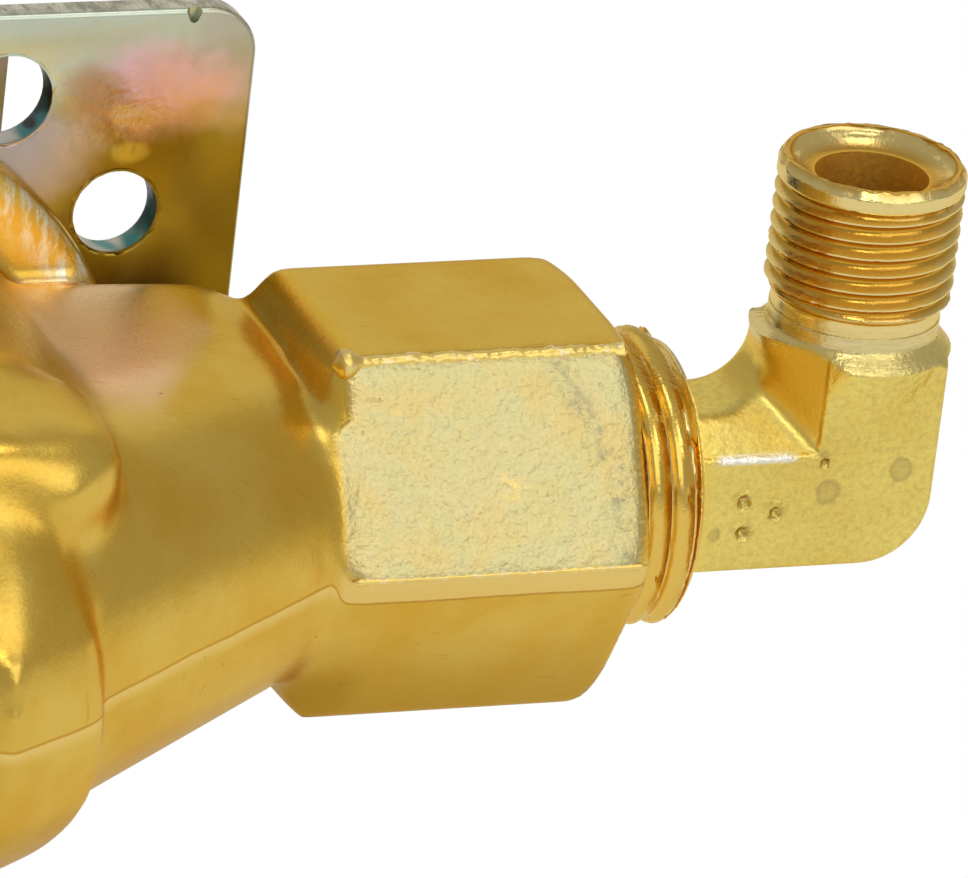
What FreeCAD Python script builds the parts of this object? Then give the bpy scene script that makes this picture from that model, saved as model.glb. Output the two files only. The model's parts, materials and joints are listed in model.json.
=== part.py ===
import FreeCAD, Part
import math
import os
import sys

import Sketcher
from FreeCAD import Placement, Rotation, Vector

# Pilot-operated solenoid water valve of an ice machine, in millimetres.
# Origin: centre of the bracket's hole pattern, on the bracket's rear face.
# +X runs along the ports to the outlet elbow, +Y along the solenoid, +Z up.

SIZES = [
    ("port_offset", 15.0, "from the bracket's rear face forward to the port axis"),
    ("plate_width", 54.3, "bracket plate along X"),
    ("plate_height", 49.4, "bracket plate along Z"),
    ("plate_thickness", 2.0, "bracket sheet"),
    ("plate_corner", 3.0, "radius of the bracket's upper corners"),
    ("plate_low_corner", 8.0, "radius of the bracket's lower corners"),
    ("plate_edge", 0.35, "rolled edge of the bracket sheet"),
    ("screw_circle", 23.0, "radius of the circle of screw holes"),
    ("screw_spread", 12.9, "degrees of a screw hole off the diagonal"),
    ("screw_hole_wide", 2.55, "radius of the four holes further out along X"),
    ("screw_hole_tall", 2.75, "radius of the four holes further out along Z"),
    ("hex_flats", 22.2, "across the flats of a port end"),
    ("hex_length", 18.3, "length of a port end"),
    ("hex_inner", 25.5, "from the valve's middle to a port end's inner face"),
    ("hex_round", 0.9, "rolled edges of a port end"),
    ("overrun", 1.0, "how far a cutting outline runs past the metal"),
    ("neck_angle", 30.2, "degrees that a neck slants forward going inward"),
    ("neck_small", 9.6, "neck radius at the port end"),
    ("neck_large", 12.2, "neck radius at the collar"),
    ("neck_length", 29.5, "slanted length of a neck up to its collar"),
    ("collar_radius", 13.7, "collar radius"),
    ("collar_length", 14.0, "slanted length of a collar"),
    ("collar_edge", 0.8, "rounded edge of a collar"),
    ("neck_root", 0.3, "how far a neck starts inside its port end"),
    ("shoulder_height", 10.1, "half height of a neck's rear shoulder at the port end"),
    ("shoulder_growth", 0.4, "gain of that half height at the shoulder's inner end"),
    ("shoulder_end", 4.0, "from the valve's middle to the shoulder's inner end"),
    ("barrel_radius", 15.4, "radius of the middle barrel"),
    ("barrel_front", 13.5, "from the port axis forward to the barrel's front"),
    ("barrel_round", 3.0, "rounded front edge of the barrel"),
    ("flange_radius", 20.0, "radius of the body's flange"),
    ("flange_thickness", 3.2, "thickness of the body's flange"),
    ("flange_round", 0.9, "rolled edge of the flange"),
    ("lug_radius", 3.2, "half thickness of the lug"),
    ("lug_reach", 9.3, "from the valve's middle to the lug's end"),
    ("lug_front", 20.0, "from the port axis forward to the lug"),
    ("lug_height", 11.8, "height of the lug's axis"),
    ("port_radius", 8.55, "radius of a port's threaded wall"),
    ("port_thread", 10.2, "depth of a port's threaded wall"),
    ("port_chamfer", 0.7, "chamfer at a port's mouth"),
    ("port_floor_radius", 7.8, "radius of the counterbore behind the thread"),
    ("port_depth", 14.0, "depth of a port down to the counterbore's floor"),
    ("passage_radius", 3.8, "radius of the water passages"),
    ("passage_lead", 5.7, "from a port end's inner face out to the outlet passage's start"),
    ("inlet_end", 6.8, "from the valve's middle to the inlet passage's end"),
    ("seat_bore_end", 2.0, "depth of the seat's bore past the outlet passage's axis"),
    ("seat_bore", 3.8, "radius of the bore under the seat"),
    ("seat_wall", 2.0, "wall of the seat tube"),
    ("seat_depth", 10.9, "from the bracket's rear face forward to the seat"),
    ("chamber_radius", 9.8, "radius of the ring-shaped water chamber"),
    ("chamber_depth", 17.2, "from the bracket's rear face forward to the chamber's floor"),
    ("bonnet_thread", 11.9, "radius of the bonnet's thread"),
    ("ledge_depth", 10.4, "from the bracket's rear face forward to the diaphragm's ledge"),
    ("plate_bore_gap", 0.4, "radial gap of the bracket round the bonnet"),
    ("diaphragm_bead", 1.5, "thickness of the diaphragm's bead"),
    ("diaphragm_web", 0.8, "thickness of the diaphragm's web"),
    ("diaphragm_core", 7.0, "radius of the diaphragm's thick middle"),
    ("diaphragm_hub", 2.2, "radius of the hole for the insert's hub"),
    ("web_slope", 0.5, "sloping edge of the diaphragm's middle"),
    ("web_rim", 0.2, "flat of the web under the bonnet's skirt"),
    ("insert_radius", 6.8, "radius of the stiff insert"),
    ("insert_plate", 1.5, "thickness of the insert's plate"),
    ("pilot_height", 1.0, "height of the pilot seat on the insert"),
    ("pilot_hole", 0.6, "radius of the pilot hole"),
    ("pilot_wall", 0.6, "wall of the pilot seat at its top"),
    ("bonnet_hex", 30.0, "across the flats of the bonnet"),
    ("bonnet_head", 5.5, "thickness of the bonnet's head"),
    ("bonnet_chamfer", 1.3, "chamfer on the corners of the bonnet's head"),
    ("bonnet_ceiling", 3.5, "from the bracket's rear face forward to the bonnet's ceiling"),
    ("pilot_chamber", 8.4, "radius of the pilot chamber"),
    ("ring_section", 0.9, "radius of the sealing ring's section"),
    ("ring_depth", 3.4, "from the bracket's rear face forward to the sealing ring"),
    ("tube_radius", 5.8, "outer radius of the guide tube"),
    ("tube_wall", 0.5, "wall of the guide tube"),
    ("tube_recess", 0.8, "from the guide tube's end back to the yoke's rear plate"),
    ("plunger_gap", 0.1, "radial running gap of the plunger"),
    ("plunger_length", 29.4, "length of the plunger"),
    ("plunger_travel", 2.5, "travel of the plunger"),
    ("plunger_flat", 0.9, "depth of the water flats on the plunger"),
    ("plunger_chamfer", 0.4, "chamfer at the plunger's ends"),
    ("seal_radius", 2.4, "radius of the plunger's seal"),
    ("seal_height", 2.0, "height of the plunger's seal"),
    ("seal_proud", 1.0, "height that the seal stands proud of the plunger"),
    ("seal_chamfer", 0.2, "chamfer of the plunger's seal"),
    ("spring_bore", 2.6, "radius of the spring bore in the plunger"),
    ("spring_bore_depth", 10.0, "depth of the spring bore in the plunger"),
    ("plunger_spring_radius", 1.9, "mean radius of the plunger's spring"),
    ("plunger_spring_wire", 0.3, "wire radius of the plunger's spring"),
    ("plunger_spring_turns", 6.0, "turns of the plunger's spring"),
    ("lift_spring_radius", 6.2, "mean radius of the diaphragm's spring"),
    ("lift_spring_wire", 0.3, "wire radius of the diaphragm's spring"),
    ("lift_spring_turns", 2.5, "turns of the diaphragm's spring"),
    ("spring_clearance", 0.05, "gap at a spring's ends"),
    ("ring_groove", 4.0, "mean radius of the shading ring"),
    ("shading_width", 0.8, "width of the shading ring"),
    ("shading_depth", 1.5, "depth of the shading ring"),
    ("stud_radius", 4.0, "radius of the stud behind the coil"),
    ("stud_free", 1.7, "length of the stud behind the nut"),
    ("stud_chamfer", 0.6, "chamfer of the stud's end"),
    ("gasket_thickness", 1.5, "thickness of the coil's gasket"),
    ("gasket_radius", 9.0, "outer radius of the coil's gasket"),
    ("bore_gap", 0.15, "radial gap of what slides over the guide tube"),
    ("yoke_width", 31.0, "width of the yoke along X"),
    ("yoke_height", 37.0, "height of the yoke along Z"),
    ("yoke_sheet", 1.8, "thickness of the yoke's sheet"),
    ("yoke_bend", 1.2, "inner radius of the yoke's bends"),
    ("coil_length", 30.0, "length of the coil between the yoke's plates"),
    ("coil_width", 29.4, "width of the coil's case"),
    ("coil_gap", 0.2, "gap between the coil's case and the yoke's bends"),
    ("coil_round", 2.0, "rounded edges of the coil's case"),
    ("case_wall", 1.0, "end wall of the coil's case"),
    ("case_skin", 1.2, "least wall of the case round the bobbin"),
    ("bobbin_wall", 1.1, "wall of the bobbin"),
    ("block_width", 20.0, "width of the terminal block"),
    ("block_depth", 12.0, "depth of the terminal block"),
    ("block_height", 4.0, "height of the terminal block"),
    ("block_place", 16.0, "from the coil's front to the terminal block's middle"),
    ("blade_width", 6.3, "width of a terminal blade"),
    ("blade_thickness", 0.8, "thickness of a terminal blade"),
    ("blade_length", 8.0, "free length of a terminal blade"),
    ("blade_root", 2.5, "length of a terminal blade inside the block"),
    ("blade_hole", 0.9, "radius of the hole in a terminal blade"),
    ("blade_hole_place", 4.8, "from the block up to that hole"),
    ("blade_bevel", 1.2, "bevelled corners of a terminal blade's tip"),
    ("blade_spacing", 10.0, "between the two terminal blades"),
    ("washer_radius", 6.5, "outer radius of the lock washer"),
    ("washer_thickness", 0.9, "thickness of the lock washer"),
    ("nut_flats", 13.0, "across the flats of the coil's nut"),
    ("nut_height", 5.0, "height of the coil's nut"),
    ("nut_chamfer", 0.8, "chamfer on the corners of the coil's nut"),
    ("strainer_radius", 5.4, "outer radius of the strainer's cup"),
    ("strainer_wall", 0.4, "wall of the strainer"),
    ("strainer_length", 2.4, "length of the strainer's cup"),
    ("strainer_rim", 0.6, "thickness of the strainer's rim"),
    ("snap_ring", 0.9, "thickness of the strainer's snap ring"),
    ("snap_ring_bore", 6.4, "inner radius of the strainer's snap ring"),
    ("flow_washer_radius", 5.5, "radius of the flow washer"),
    ("flow_washer_hole", 1.6, "radius of the hole in the flow washer"),
    ("flow_washer_height", 2.8, "thickness of the flow washer"),
    ("elbow_reach", 16.9, "from the port's face to the elbow's upright axis"),
    ("elbow_rise", 19.4, "height of the elbow's mouth over the port axis"),
    ("elbow_collar", 5.1, "length of the taper thread that stands out of the port"),
    ("elbow_screwed", 9.8, "length of the taper thread inside the port"),
    ("elbow_taper", 0.03125, "radius lost for each millimetre of the taper thread"),
    ("elbow_bevel", 0.5, "length of the bevel between the taper thread and the block"),
    ("elbow_bevel_depth", 1.0, "radius lost over that bevel"),
    ("elbow_half", 4.6, "half thickness of the elbow's block"),
    ("elbow_corner", 4.2, "rounded outer corner of the elbow"),
    ("elbow_inner", 3.4, "rounded inner corner of the elbow"),
    ("elbow_edge", 0.8, "rolled edges of the elbow's block"),
    ("elbow_arm_top", 4.6, "height of the elbow's arm over the port axis"),
    ("elbow_arm_chamfer", 1.6, "sloping upper edges of the elbow's arm and inner corner"),
    ("elbow_leg_back", 5.2, "thickness of the upright leg towards the valve"),
    ("shoulder_radius", 5.6, "radius of the shoulder under the tube thread"),
    ("shoulder_place", 9.7, "height of the shoulder over the port axis"),
    ("shoulder_rim", 0.4, "height of the shoulder's rim over the block"),
    ("shoulder_drop", 0.9, "depth of the shoulder's straight side under the block's top"),
    ("shoulder_flare", 0.5, "growth of the shoulder down its side"),
    ("shoulder_root", 3.0, "height of the shoulder's root over the port axis"),
    ("shoulder_inset", 0.4, "depth of the shoulder's root inside the block's faces"),
    ("turning_depth", 3.2, "depth under the shoulder's rim to which the block's corners are turned off"),
    ("turning_radius", 6.9, "radius to which the turning opens at that depth"),
    ("tube_thread", 5.5, "radius of the tube thread"),
    ("thread_relief", 4.95, "radius of the relief under the tube thread"),
    ("relief_height", 0.9, "height of the relief"),
    ("mouth_radius", 4.85, "radius of the conical mouth"),
    ("elbow_bore", 3.35, "radius of the elbow's bore"),
    ("mouth_depth", 1.9, "depth of the conical mouth"),
    ("thread_chamfer", 0.45, "chamfer of the tube thread"),
    ("thread_lead", 0.5, "sloping start of the tube thread"),
]

doc = FreeCAD.newDocument("ice_machine_water_valve")
dim = doc.addObject("Spreadsheet::Sheet", "dim")
for row, (alias, size, note) in enumerate(SIZES, start=1):
    dim.set(f"A{row}", str(size))
    dim.setAlias(f"A{row}", alias)
    dim.set(f"B{row}", note)
doc.recompute()

# Stations along the solenoid axis, as expressions of the sheet
PORT_Y = "(0 - dim.port_offset)"
PLATE_FRONT = "(0 - dim.plate_thickness)"
FLANGE_FRONT = "(0 - dim.plate_thickness - dim.flange_thickness)"
LEDGE = "(0 - dim.ledge_depth)"
SEAT = "(0 - dim.seat_depth)"
BEAD_TOP = f"({LEDGE} + dim.diaphragm_bead)"
INSERT_TOP = f"({BEAD_TOP} + dim.insert_plate)"
PILOT_SEAT = f"({INSERT_TOP} + dim.pilot_height)"
CEILING = "(0 - dim.bonnet_ceiling)"
PLUNGER_FOOT = f"({PILOT_SEAT} + dim.seal_proud)"
PLUNGER_TOP = f"({PLUNGER_FOOT} + dim.plunger_length)"
STOP_FACE = f"({PLUNGER_TOP} + dim.plunger_travel)"
GASKET_TOP = "(dim.bonnet_head + dim.gasket_thickness)"
COIL_FRONT = f"({GASKET_TOP} + dim.yoke_sheet)"
COIL_BACK = f"({COIL_FRONT} + dim.coil_length)"
TUBE_TOP = f"({COIL_BACK} - dim.tube_recess)"
YOKE_BACK = f"({COIL_BACK} + dim.yoke_sheet)"
NUT_FOOT = f"({YOKE_BACK} + dim.washer_thickness)"
TUBE_BORE = "(dim.tube_radius - dim.tube_wall)"
SLIDE_BORE = "(dim.tube_radius + dim.bore_gap)"
STUD_BORE = "(dim.stud_radius + dim.bore_gap)"
COIL_HALF_HEIGHT = "(dim.yoke_height / 2 - dim.yoke_sheet - dim.yoke_bend - dim.coil_gap)"
BLOCK_TOP = f"({COIL_HALF_HEIGHT} + dim.block_height)"

# Stations along the port axis
PORT_FACE = "(dim.hex_inner + dim.hex_length)"
PORT_FLOOR = f"({PORT_FACE} - dim.port_depth)"
PORT_STEP = f"({PORT_FACE} - dim.port_thread)"
ELBOW_X = f"({PORT_FACE} + dim.elbow_reach)"
NECK_SLOPE = "(sin(dim.neck_angle) / cos(dim.neck_angle))"
SEAT_BORE_FLOOR = f"({PORT_Y} - dim.hex_inner * {NECK_SLOPE} - dim.seat_bore_end)"


def value(expression):
    """The number that an expression of the sheet stands for now."""
    return float(dim.evalExpression(str(expression)))


def minus(expression):
    return f"(0 - {expression})"


def new_body(name):
    body = doc.addObject("PartDesign::Body", name)
    body.Label = name
    return body


def new_sketch(body, role, offset=("0", "0", "0"), turn="0"):
    """A sketch on one of the body's own origin planes, moved and turned in that plane's frame."""
    plane = [item for item in body.Origin.OriginFeatures if item.Role == role][0]
    sketch = body.newObject("Sketcher::SketchObject", body.Name + "_sketch")
    sketch.AttachmentSupport = [(plane, "")]
    sketch.MapMode = "FlatFace"
    base = Vector(*[value(item) for item in offset])
    sketch.AttachmentOffset = Placement(base, Rotation(Vector(0, 0, 1), value(turn)))
    for axis, item in zip("xyz", offset):
        sketch.setExpression(f".AttachmentOffset.Base.{axis}", item)
    sketch.setExpression(".AttachmentOffset.Rotation.Angle", turn)
    return sketch


def bind_point(sketch, piece, end, place):
    for kind, item in zip(("DistanceX", "DistanceY"), place):
        rule = sketch.addConstraint(Sketcher.Constraint(kind, -1, 1, piece, end, value(item)))
        sketch.setExpression(f"Constraints[{rule}]", str(item))


def draw_outline(sketch, corners):
    """A closed outline. A corner is (x, y), or (x, y, radius) where an arc runs to the next corner.

    A radius written with a leading "cw " bends the arc clockwise, and counter-clockwise without it.
    """
    pieces = []
    count = len(corners)
    for index, corner in enumerate(corners):
        following = corners[(index + 1) % count]
        start = Vector(value(corner[0]), value(corner[1]), 0)
        finish = Vector(value(following[0]), value(following[1]), 0)
        if len(corner) == 2:
            piece = sketch.addGeometry(Part.LineSegment(start, finish))
            pieces.append((piece, 1, 2))
            continue
        clockwise = corner[2].startswith("cw ")
        radius_rule = corner[2].replace("cw ", "")
        first, last = (finish, start) if clockwise else (start, finish)
        radius = value(radius_rule)
        chord = last - first
        sagitta_leg = math.sqrt(max(radius ** 2 - (chord.Length / 2) ** 2, 0))
        normal = Vector(-chord.y, chord.x, 0).normalize()
        centre = first + chord * 0.5 + normal * sagitta_leg
        angles = [math.atan2(end.y - centre.y, end.x - centre.x) for end in (first, last)]
        circle = Part.Circle(centre, Vector(0, 0, 1), radius)
        piece = sketch.addGeometry(Part.ArcOfCircle(circle, angles[0], angles[1]))
        rule = sketch.addConstraint(Sketcher.Constraint("Radius", piece, radius))
        sketch.setExpression(f"Constraints[{rule}]", radius_rule)
        pieces.append((piece, 2, 1) if clockwise else (piece, 1, 2))
    for index, (piece, start_end, finish_end) in enumerate(pieces):
        following = pieces[(index + 1) % count]
        sketch.addConstraint(
            Sketcher.Constraint("Coincident", piece, finish_end, following[0], following[1]))
        bind_point(sketch, piece, start_end, corners[index][:2])


def draw_circle(sketch, place, radius):
    centre = Vector(value(place[0]), value(place[1]), 0)
    piece = sketch.addGeometry(Part.Circle(centre, Vector(0, 0, 1), value(radius)))
    rule = sketch.addConstraint(Sketcher.Constraint("Radius", piece, value(radius)))
    sketch.setExpression(f"Constraints[{rule}]", radius)
    bind_point(sketch, piece, 3, place)


def hexagon(across_flats, centre=("0", "0")):
    """Corners of a hexagon whose first corner lies along the sketch's own x."""
    corners = []
    for step in range(6):
        x = f"({centre[0]} + {across_flats} / sqrt(3) * cos({60 * step}))"
        y = f"({centre[1]} + {across_flats} / sqrt(3) * sin({60 * step}))"
        corners.append((x, y))
    return corners


def turn_about(body, sketch, axis, removing=False):
    kind = "PartDesign::Groove" if removing else "PartDesign::Revolution"
    feature = body.newObject(kind, body.Name + ("_groove" if removing else "_turned"))
    feature.Profile = sketch
    feature.ReferenceAxis = (sketch, [axis])
    feature.Angle = 360
    return feature


def turned_body(name, corners):
    """A piece turned about the solenoid axis. A corner is (radius, station along Y)."""
    body = new_body(name)
    sketch = new_sketch(body, "XY_Plane")
    draw_outline(sketch, corners)
    turn_about(body, sketch, "V_Axis")
    return body


def port_turned(body, corners, removing=False):
    """Turns a profile of (station along X, radius) about the port axis."""
    sketch = new_sketch(body, "XY_Plane", ("0", PORT_Y, "0"))
    draw_outline(sketch, corners)
    return turn_about(body, sketch, "H_Axis", removing)


def pad(body, sketch, length, midplane=False, backward=False):
    feature = body.newObject("PartDesign::Pad", body.Name + "_pad")
    feature.Profile = sketch
    feature.Midplane = midplane
    feature.Reversed = backward
    feature.setExpression("Length", length)
    return feature


def pocket_through(body, sketch):
    feature = body.newObject("PartDesign::Pocket", body.Name + "_pocket")
    feature.Profile = sketch
    feature.Type = "ThroughAll"
    feature.Midplane = True
    return feature


def solenoid_sketch(body, station):
    """A sketch across the solenoid axis at a station along Y. Its x is X and its y is Z."""
    return new_sketch(body, "XZ_Plane", ("0", "0", minus(station)))


def round_edges(body, feature, radius, wanted):
    """Fillets the edges of a feature that the test wanted(edge) picks."""
    doc.recompute()
    names = [f"Edge{index}" for index, edge in enumerate(feature.Shape.Edges, start=1) if wanted(edge)]
    fillet = body.newObject("PartDesign::Fillet", body.Name + "_fillet")
    fillet.Base = (feature, names)
    fillet.setExpression("Radius", radius)
    return fillet


def is_along(edge, direction):
    if not isinstance(edge.Curve, Part.Line):
        return False
    return edge.Curve.Direction.cross(direction).Length < 0.001


def middle(edge):
    return edge.valueAt((edge.FirstParameter + edge.LastParameter) / 2)


def bevel_hexagon(body, across_flats, face, depth, outward):
    """Turns the corners off a hexagon at a face. outward is 1 if the face looks along +Y, else -1."""
    sketch = new_sketch(body, "XY_Plane")
    near = f"({across_flats} / 2)"
    far = f"({across_flats} / sqrt(3) + dim.overrun)"
    beyond = f"({face} + ({outward}) * dim.overrun)"
    draw_outline(sketch, [
        (near, face), (near, beyond), (far, beyond), (far, f"({face} - ({outward}) * {depth})")])
    turn_about(body, sketch, "V_Axis", removing=True)


def make_port_arm():
    """One side of the forging: slanted neck with its collar, rear shoulder and hexagonal end."""
    body = new_body("port_arm")
    start_x = "dim.hex_inner + dim.neck_root"
    neck = new_sketch(body, "XY_Plane", (start_x, PORT_Y, "0"), "180 + dim.neck_angle")
    end = "(dim.neck_length + dim.collar_length)"
    step = "dim.collar_edge"
    draw_outline(neck, [
        ("0", "0"), (end, "0"), (end, "dim.collar_radius"),
        (f"(dim.neck_length + {step})", "dim.collar_radius", step),
        ("dim.neck_length", f"(dim.collar_radius - {step})"),
        ("dim.neck_length", "dim.neck_large"), ("0", "dim.neck_small")])
    turn_about(body, neck, "H_Axis")
    sections = []
    for station, ridge, rear in (
            ("dim.hex_inner", "dim.neck_small", "dim.shoulder_height"),
            ("dim.shoulder_end", "dim.neck_large", "(dim.shoulder_height + dim.shoulder_growth)")):
        sketch = new_sketch(body, "YZ_Plane", ("0", "0", station))
        front = f"({PORT_Y} - (dim.hex_inner - {station}) * {NECK_SLOPE})"
        draw_outline(sketch, [
            (front, minus(ridge)), (FLANGE_FRONT, minus(rear)), (FLANGE_FRONT, rear), (front, ridge)])
        sections.append(sketch)
    loft = body.newObject("PartDesign::AdditiveLoft", "port_arm_shoulder")
    loft.Profile = sections[0]
    loft.Sections = sections[1:]
    loft.Ruled = True
    half_shoulder = value("dim.shoulder_height") / 2
    round_edges(body, loft, "dim.barrel_round", lambda edge: (
        abs(middle(edge).y - value(FLANGE_FRONT)) < 0.01
        and abs(middle(edge).z) > half_shoulder and edge.Length > half_shoulder))
    hex_body = new_body("port_hex")
    hex_sketch = new_sketch(hex_body, "YZ_Plane", (PORT_Y, "0", "dim.hex_inner"))
    draw_outline(hex_sketch, hexagon("dim.hex_flats"))
    hex_pad = pad(hex_body, hex_sketch, "dim.hex_length")
    round_edges(hex_body, hex_pad, "dim.hex_round", lambda edge: True)
    half_space = doc.addObject("Part::Box", "arm_side")
    half_space.setExpression("Length", f"{PORT_FACE} + dim.overrun")
    half_space.setExpression("Width", "4 * dim.hex_inner")
    half_space.setExpression("Height", "2 * dim.hex_inner")
    half_space.setExpression(".Placement.Base.y", "0 - 3 * dim.hex_inner")
    half_space.setExpression(".Placement.Base.z", "0 - dim.hex_inner")
    trimmed = doc.addObject("Part::Common", "arm_trimmed")
    trimmed.Base = body
    trimmed.Tool = half_space
    return [trimmed, hex_body]


def make_barrel():
    front = f"({PORT_Y} - dim.barrel_front)"
    edge = "dim.flange_round"
    return turned_body("barrel", [
        ("0", front), ("(dim.barrel_radius - dim.barrel_round)", front, "dim.barrel_round"),
        ("dim.barrel_radius", f"({front} + dim.barrel_round)"),
        ("dim.barrel_radius", FLANGE_FRONT),
        (f"(dim.flange_radius - {edge})", FLANGE_FRONT, edge),
        ("dim.flange_radius", f"({FLANGE_FRONT} + {edge})"),
        ("dim.flange_radius", PLATE_FRONT), ("0", PLATE_FRONT)])


def make_lug():
    """The rounded lug across the front of the barrel."""
    body = new_body("lug")
    sketch = new_sketch(body, "XY_Plane", ("0", f"({PORT_Y} - dim.lug_front)", "dim.lug_height"))
    straight = "(dim.lug_reach - dim.lug_radius)"
    draw_outline(sketch, [
        (minus("dim.lug_reach"), "0"), ("dim.lug_reach", "0", "dim.lug_radius"),
        (straight, "dim.lug_radius"), (minus(straight), "dim.lug_radius", "dim.lug_radius")])
    turn_about(body, sketch, "H_Axis")
    root = new_body("lug_root")
    oblong = solenoid_sketch(root, f"({PORT_Y} - dim.barrel_front + dim.overrun)")
    low = "(dim.lug_height - dim.lug_radius)"
    high = "(dim.lug_height + dim.lug_radius)"
    draw_outline(oblong, [
        (minus(straight), low), (straight, low, "dim.lug_radius"),
        ("dim.lug_reach", "dim.lug_height", "dim.lug_radius"),
        (straight, high), (minus(straight), high, "dim.lug_radius"),
        (minus("dim.lug_reach"), "dim.lug_height", "dim.lug_radius")])
    pad(root, oblong, "dim.lug_front - dim.barrel_front + dim.overrun")
    return [body, root]


def make_hollows():
    """Everything that is cut out of the forging, as bodies."""
    open_face = f"({PLATE_FRONT} + dim.overrun)"
    seat_outside = "(dim.seat_bore + dim.seat_wall)"
    tools = [turned_body("bonnet_hole", [
        ("0", open_face), ("dim.bonnet_thread", open_face), ("dim.bonnet_thread", LEDGE),
        ("dim.chamber_radius", LEDGE), ("dim.chamber_radius", minus("dim.chamber_depth")),
        (seat_outside, minus("dim.chamber_depth")), (seat_outside, SEAT), ("dim.seat_bore", SEAT),
        ("dim.seat_bore", SEAT_BORE_FLOOR), ("0", SEAT_BORE_FLOOR)])]
    for side, sign in (("outlet", "1"), ("inlet", "(0 - 1)")):
        port = new_body(side + "_port")
        mouth = f"({sign} * ({PORT_FACE} + dim.overrun))"
        face = f"({sign} * {PORT_FACE})"
        lip = f"({sign} * ({PORT_FACE} - dim.port_chamfer))"
        step = f"({sign} * {PORT_STEP})"
        floor = f"({sign} * {PORT_FLOOR})"
        wide = "(dim.port_radius + dim.port_chamfer)"
        port_turned(port, [
            (mouth, "0"), (mouth, wide), (face, wide), (lip, "dim.port_radius"), (step, "dim.port_radius"),
            (step, "dim.port_floor_radius"), (floor, "dim.port_floor_radius"), (floor, "0")])
        tools.append(port)
    outlet = new_body("outlet_passage")
    sketch = new_sketch(outlet, "XY_Plane", ("dim.hex_inner", PORT_Y, "0"), "180 + dim.neck_angle")
    start = minus("dim.passage_lead")
    meeting = "(dim.hex_inner / cos(dim.neck_angle))"
    draw_outline(sketch, [
        (start, "0"), (meeting, "0"), (meeting, "dim.passage_radius"), (start, "dim.passage_radius")])
    turn_about(outlet, sketch, "H_Axis")
    tools.append(outlet)
    inlet = new_body("inlet_passage")
    entry = minus(f"({PORT_FLOOR} + dim.overrun)")
    washer_floor = minus(f"({PORT_FLOOR} - dim.flow_washer_height)")
    inner_end = minus("dim.inlet_end")
    port_turned(inlet, [
        (entry, "0"), (inner_end, "0"), (inner_end, "dim.passage_radius"),
        (washer_floor, "dim.passage_radius"), (washer_floor, "dim.flow_washer_radius"),
        (entry, "dim.flow_washer_radius")])
    tools.append(inlet)
    return tools


def make_valve_body():
    right = doc.addObject("Part::MultiFuse", "right_side")
    right.Shapes = make_port_arm()
    left = doc.addObject("Part::Mirroring", "left_side")
    left.Source = right
    left.Normal = Vector(1, 0, 0)
    forging = doc.addObject("Part::MultiFuse", "forging")
    forging.Shapes = [right, left, make_barrel()] + make_lug()
    forging.Refine = True
    hollows = doc.addObject("Part::MultiFuse", "hollows")
    hollows.Shapes = make_hollows()
    body = doc.addObject("Part::Cut", "valve_body")
    body.Base = forging
    body.Tool = hollows
    body.Refine = True


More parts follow.
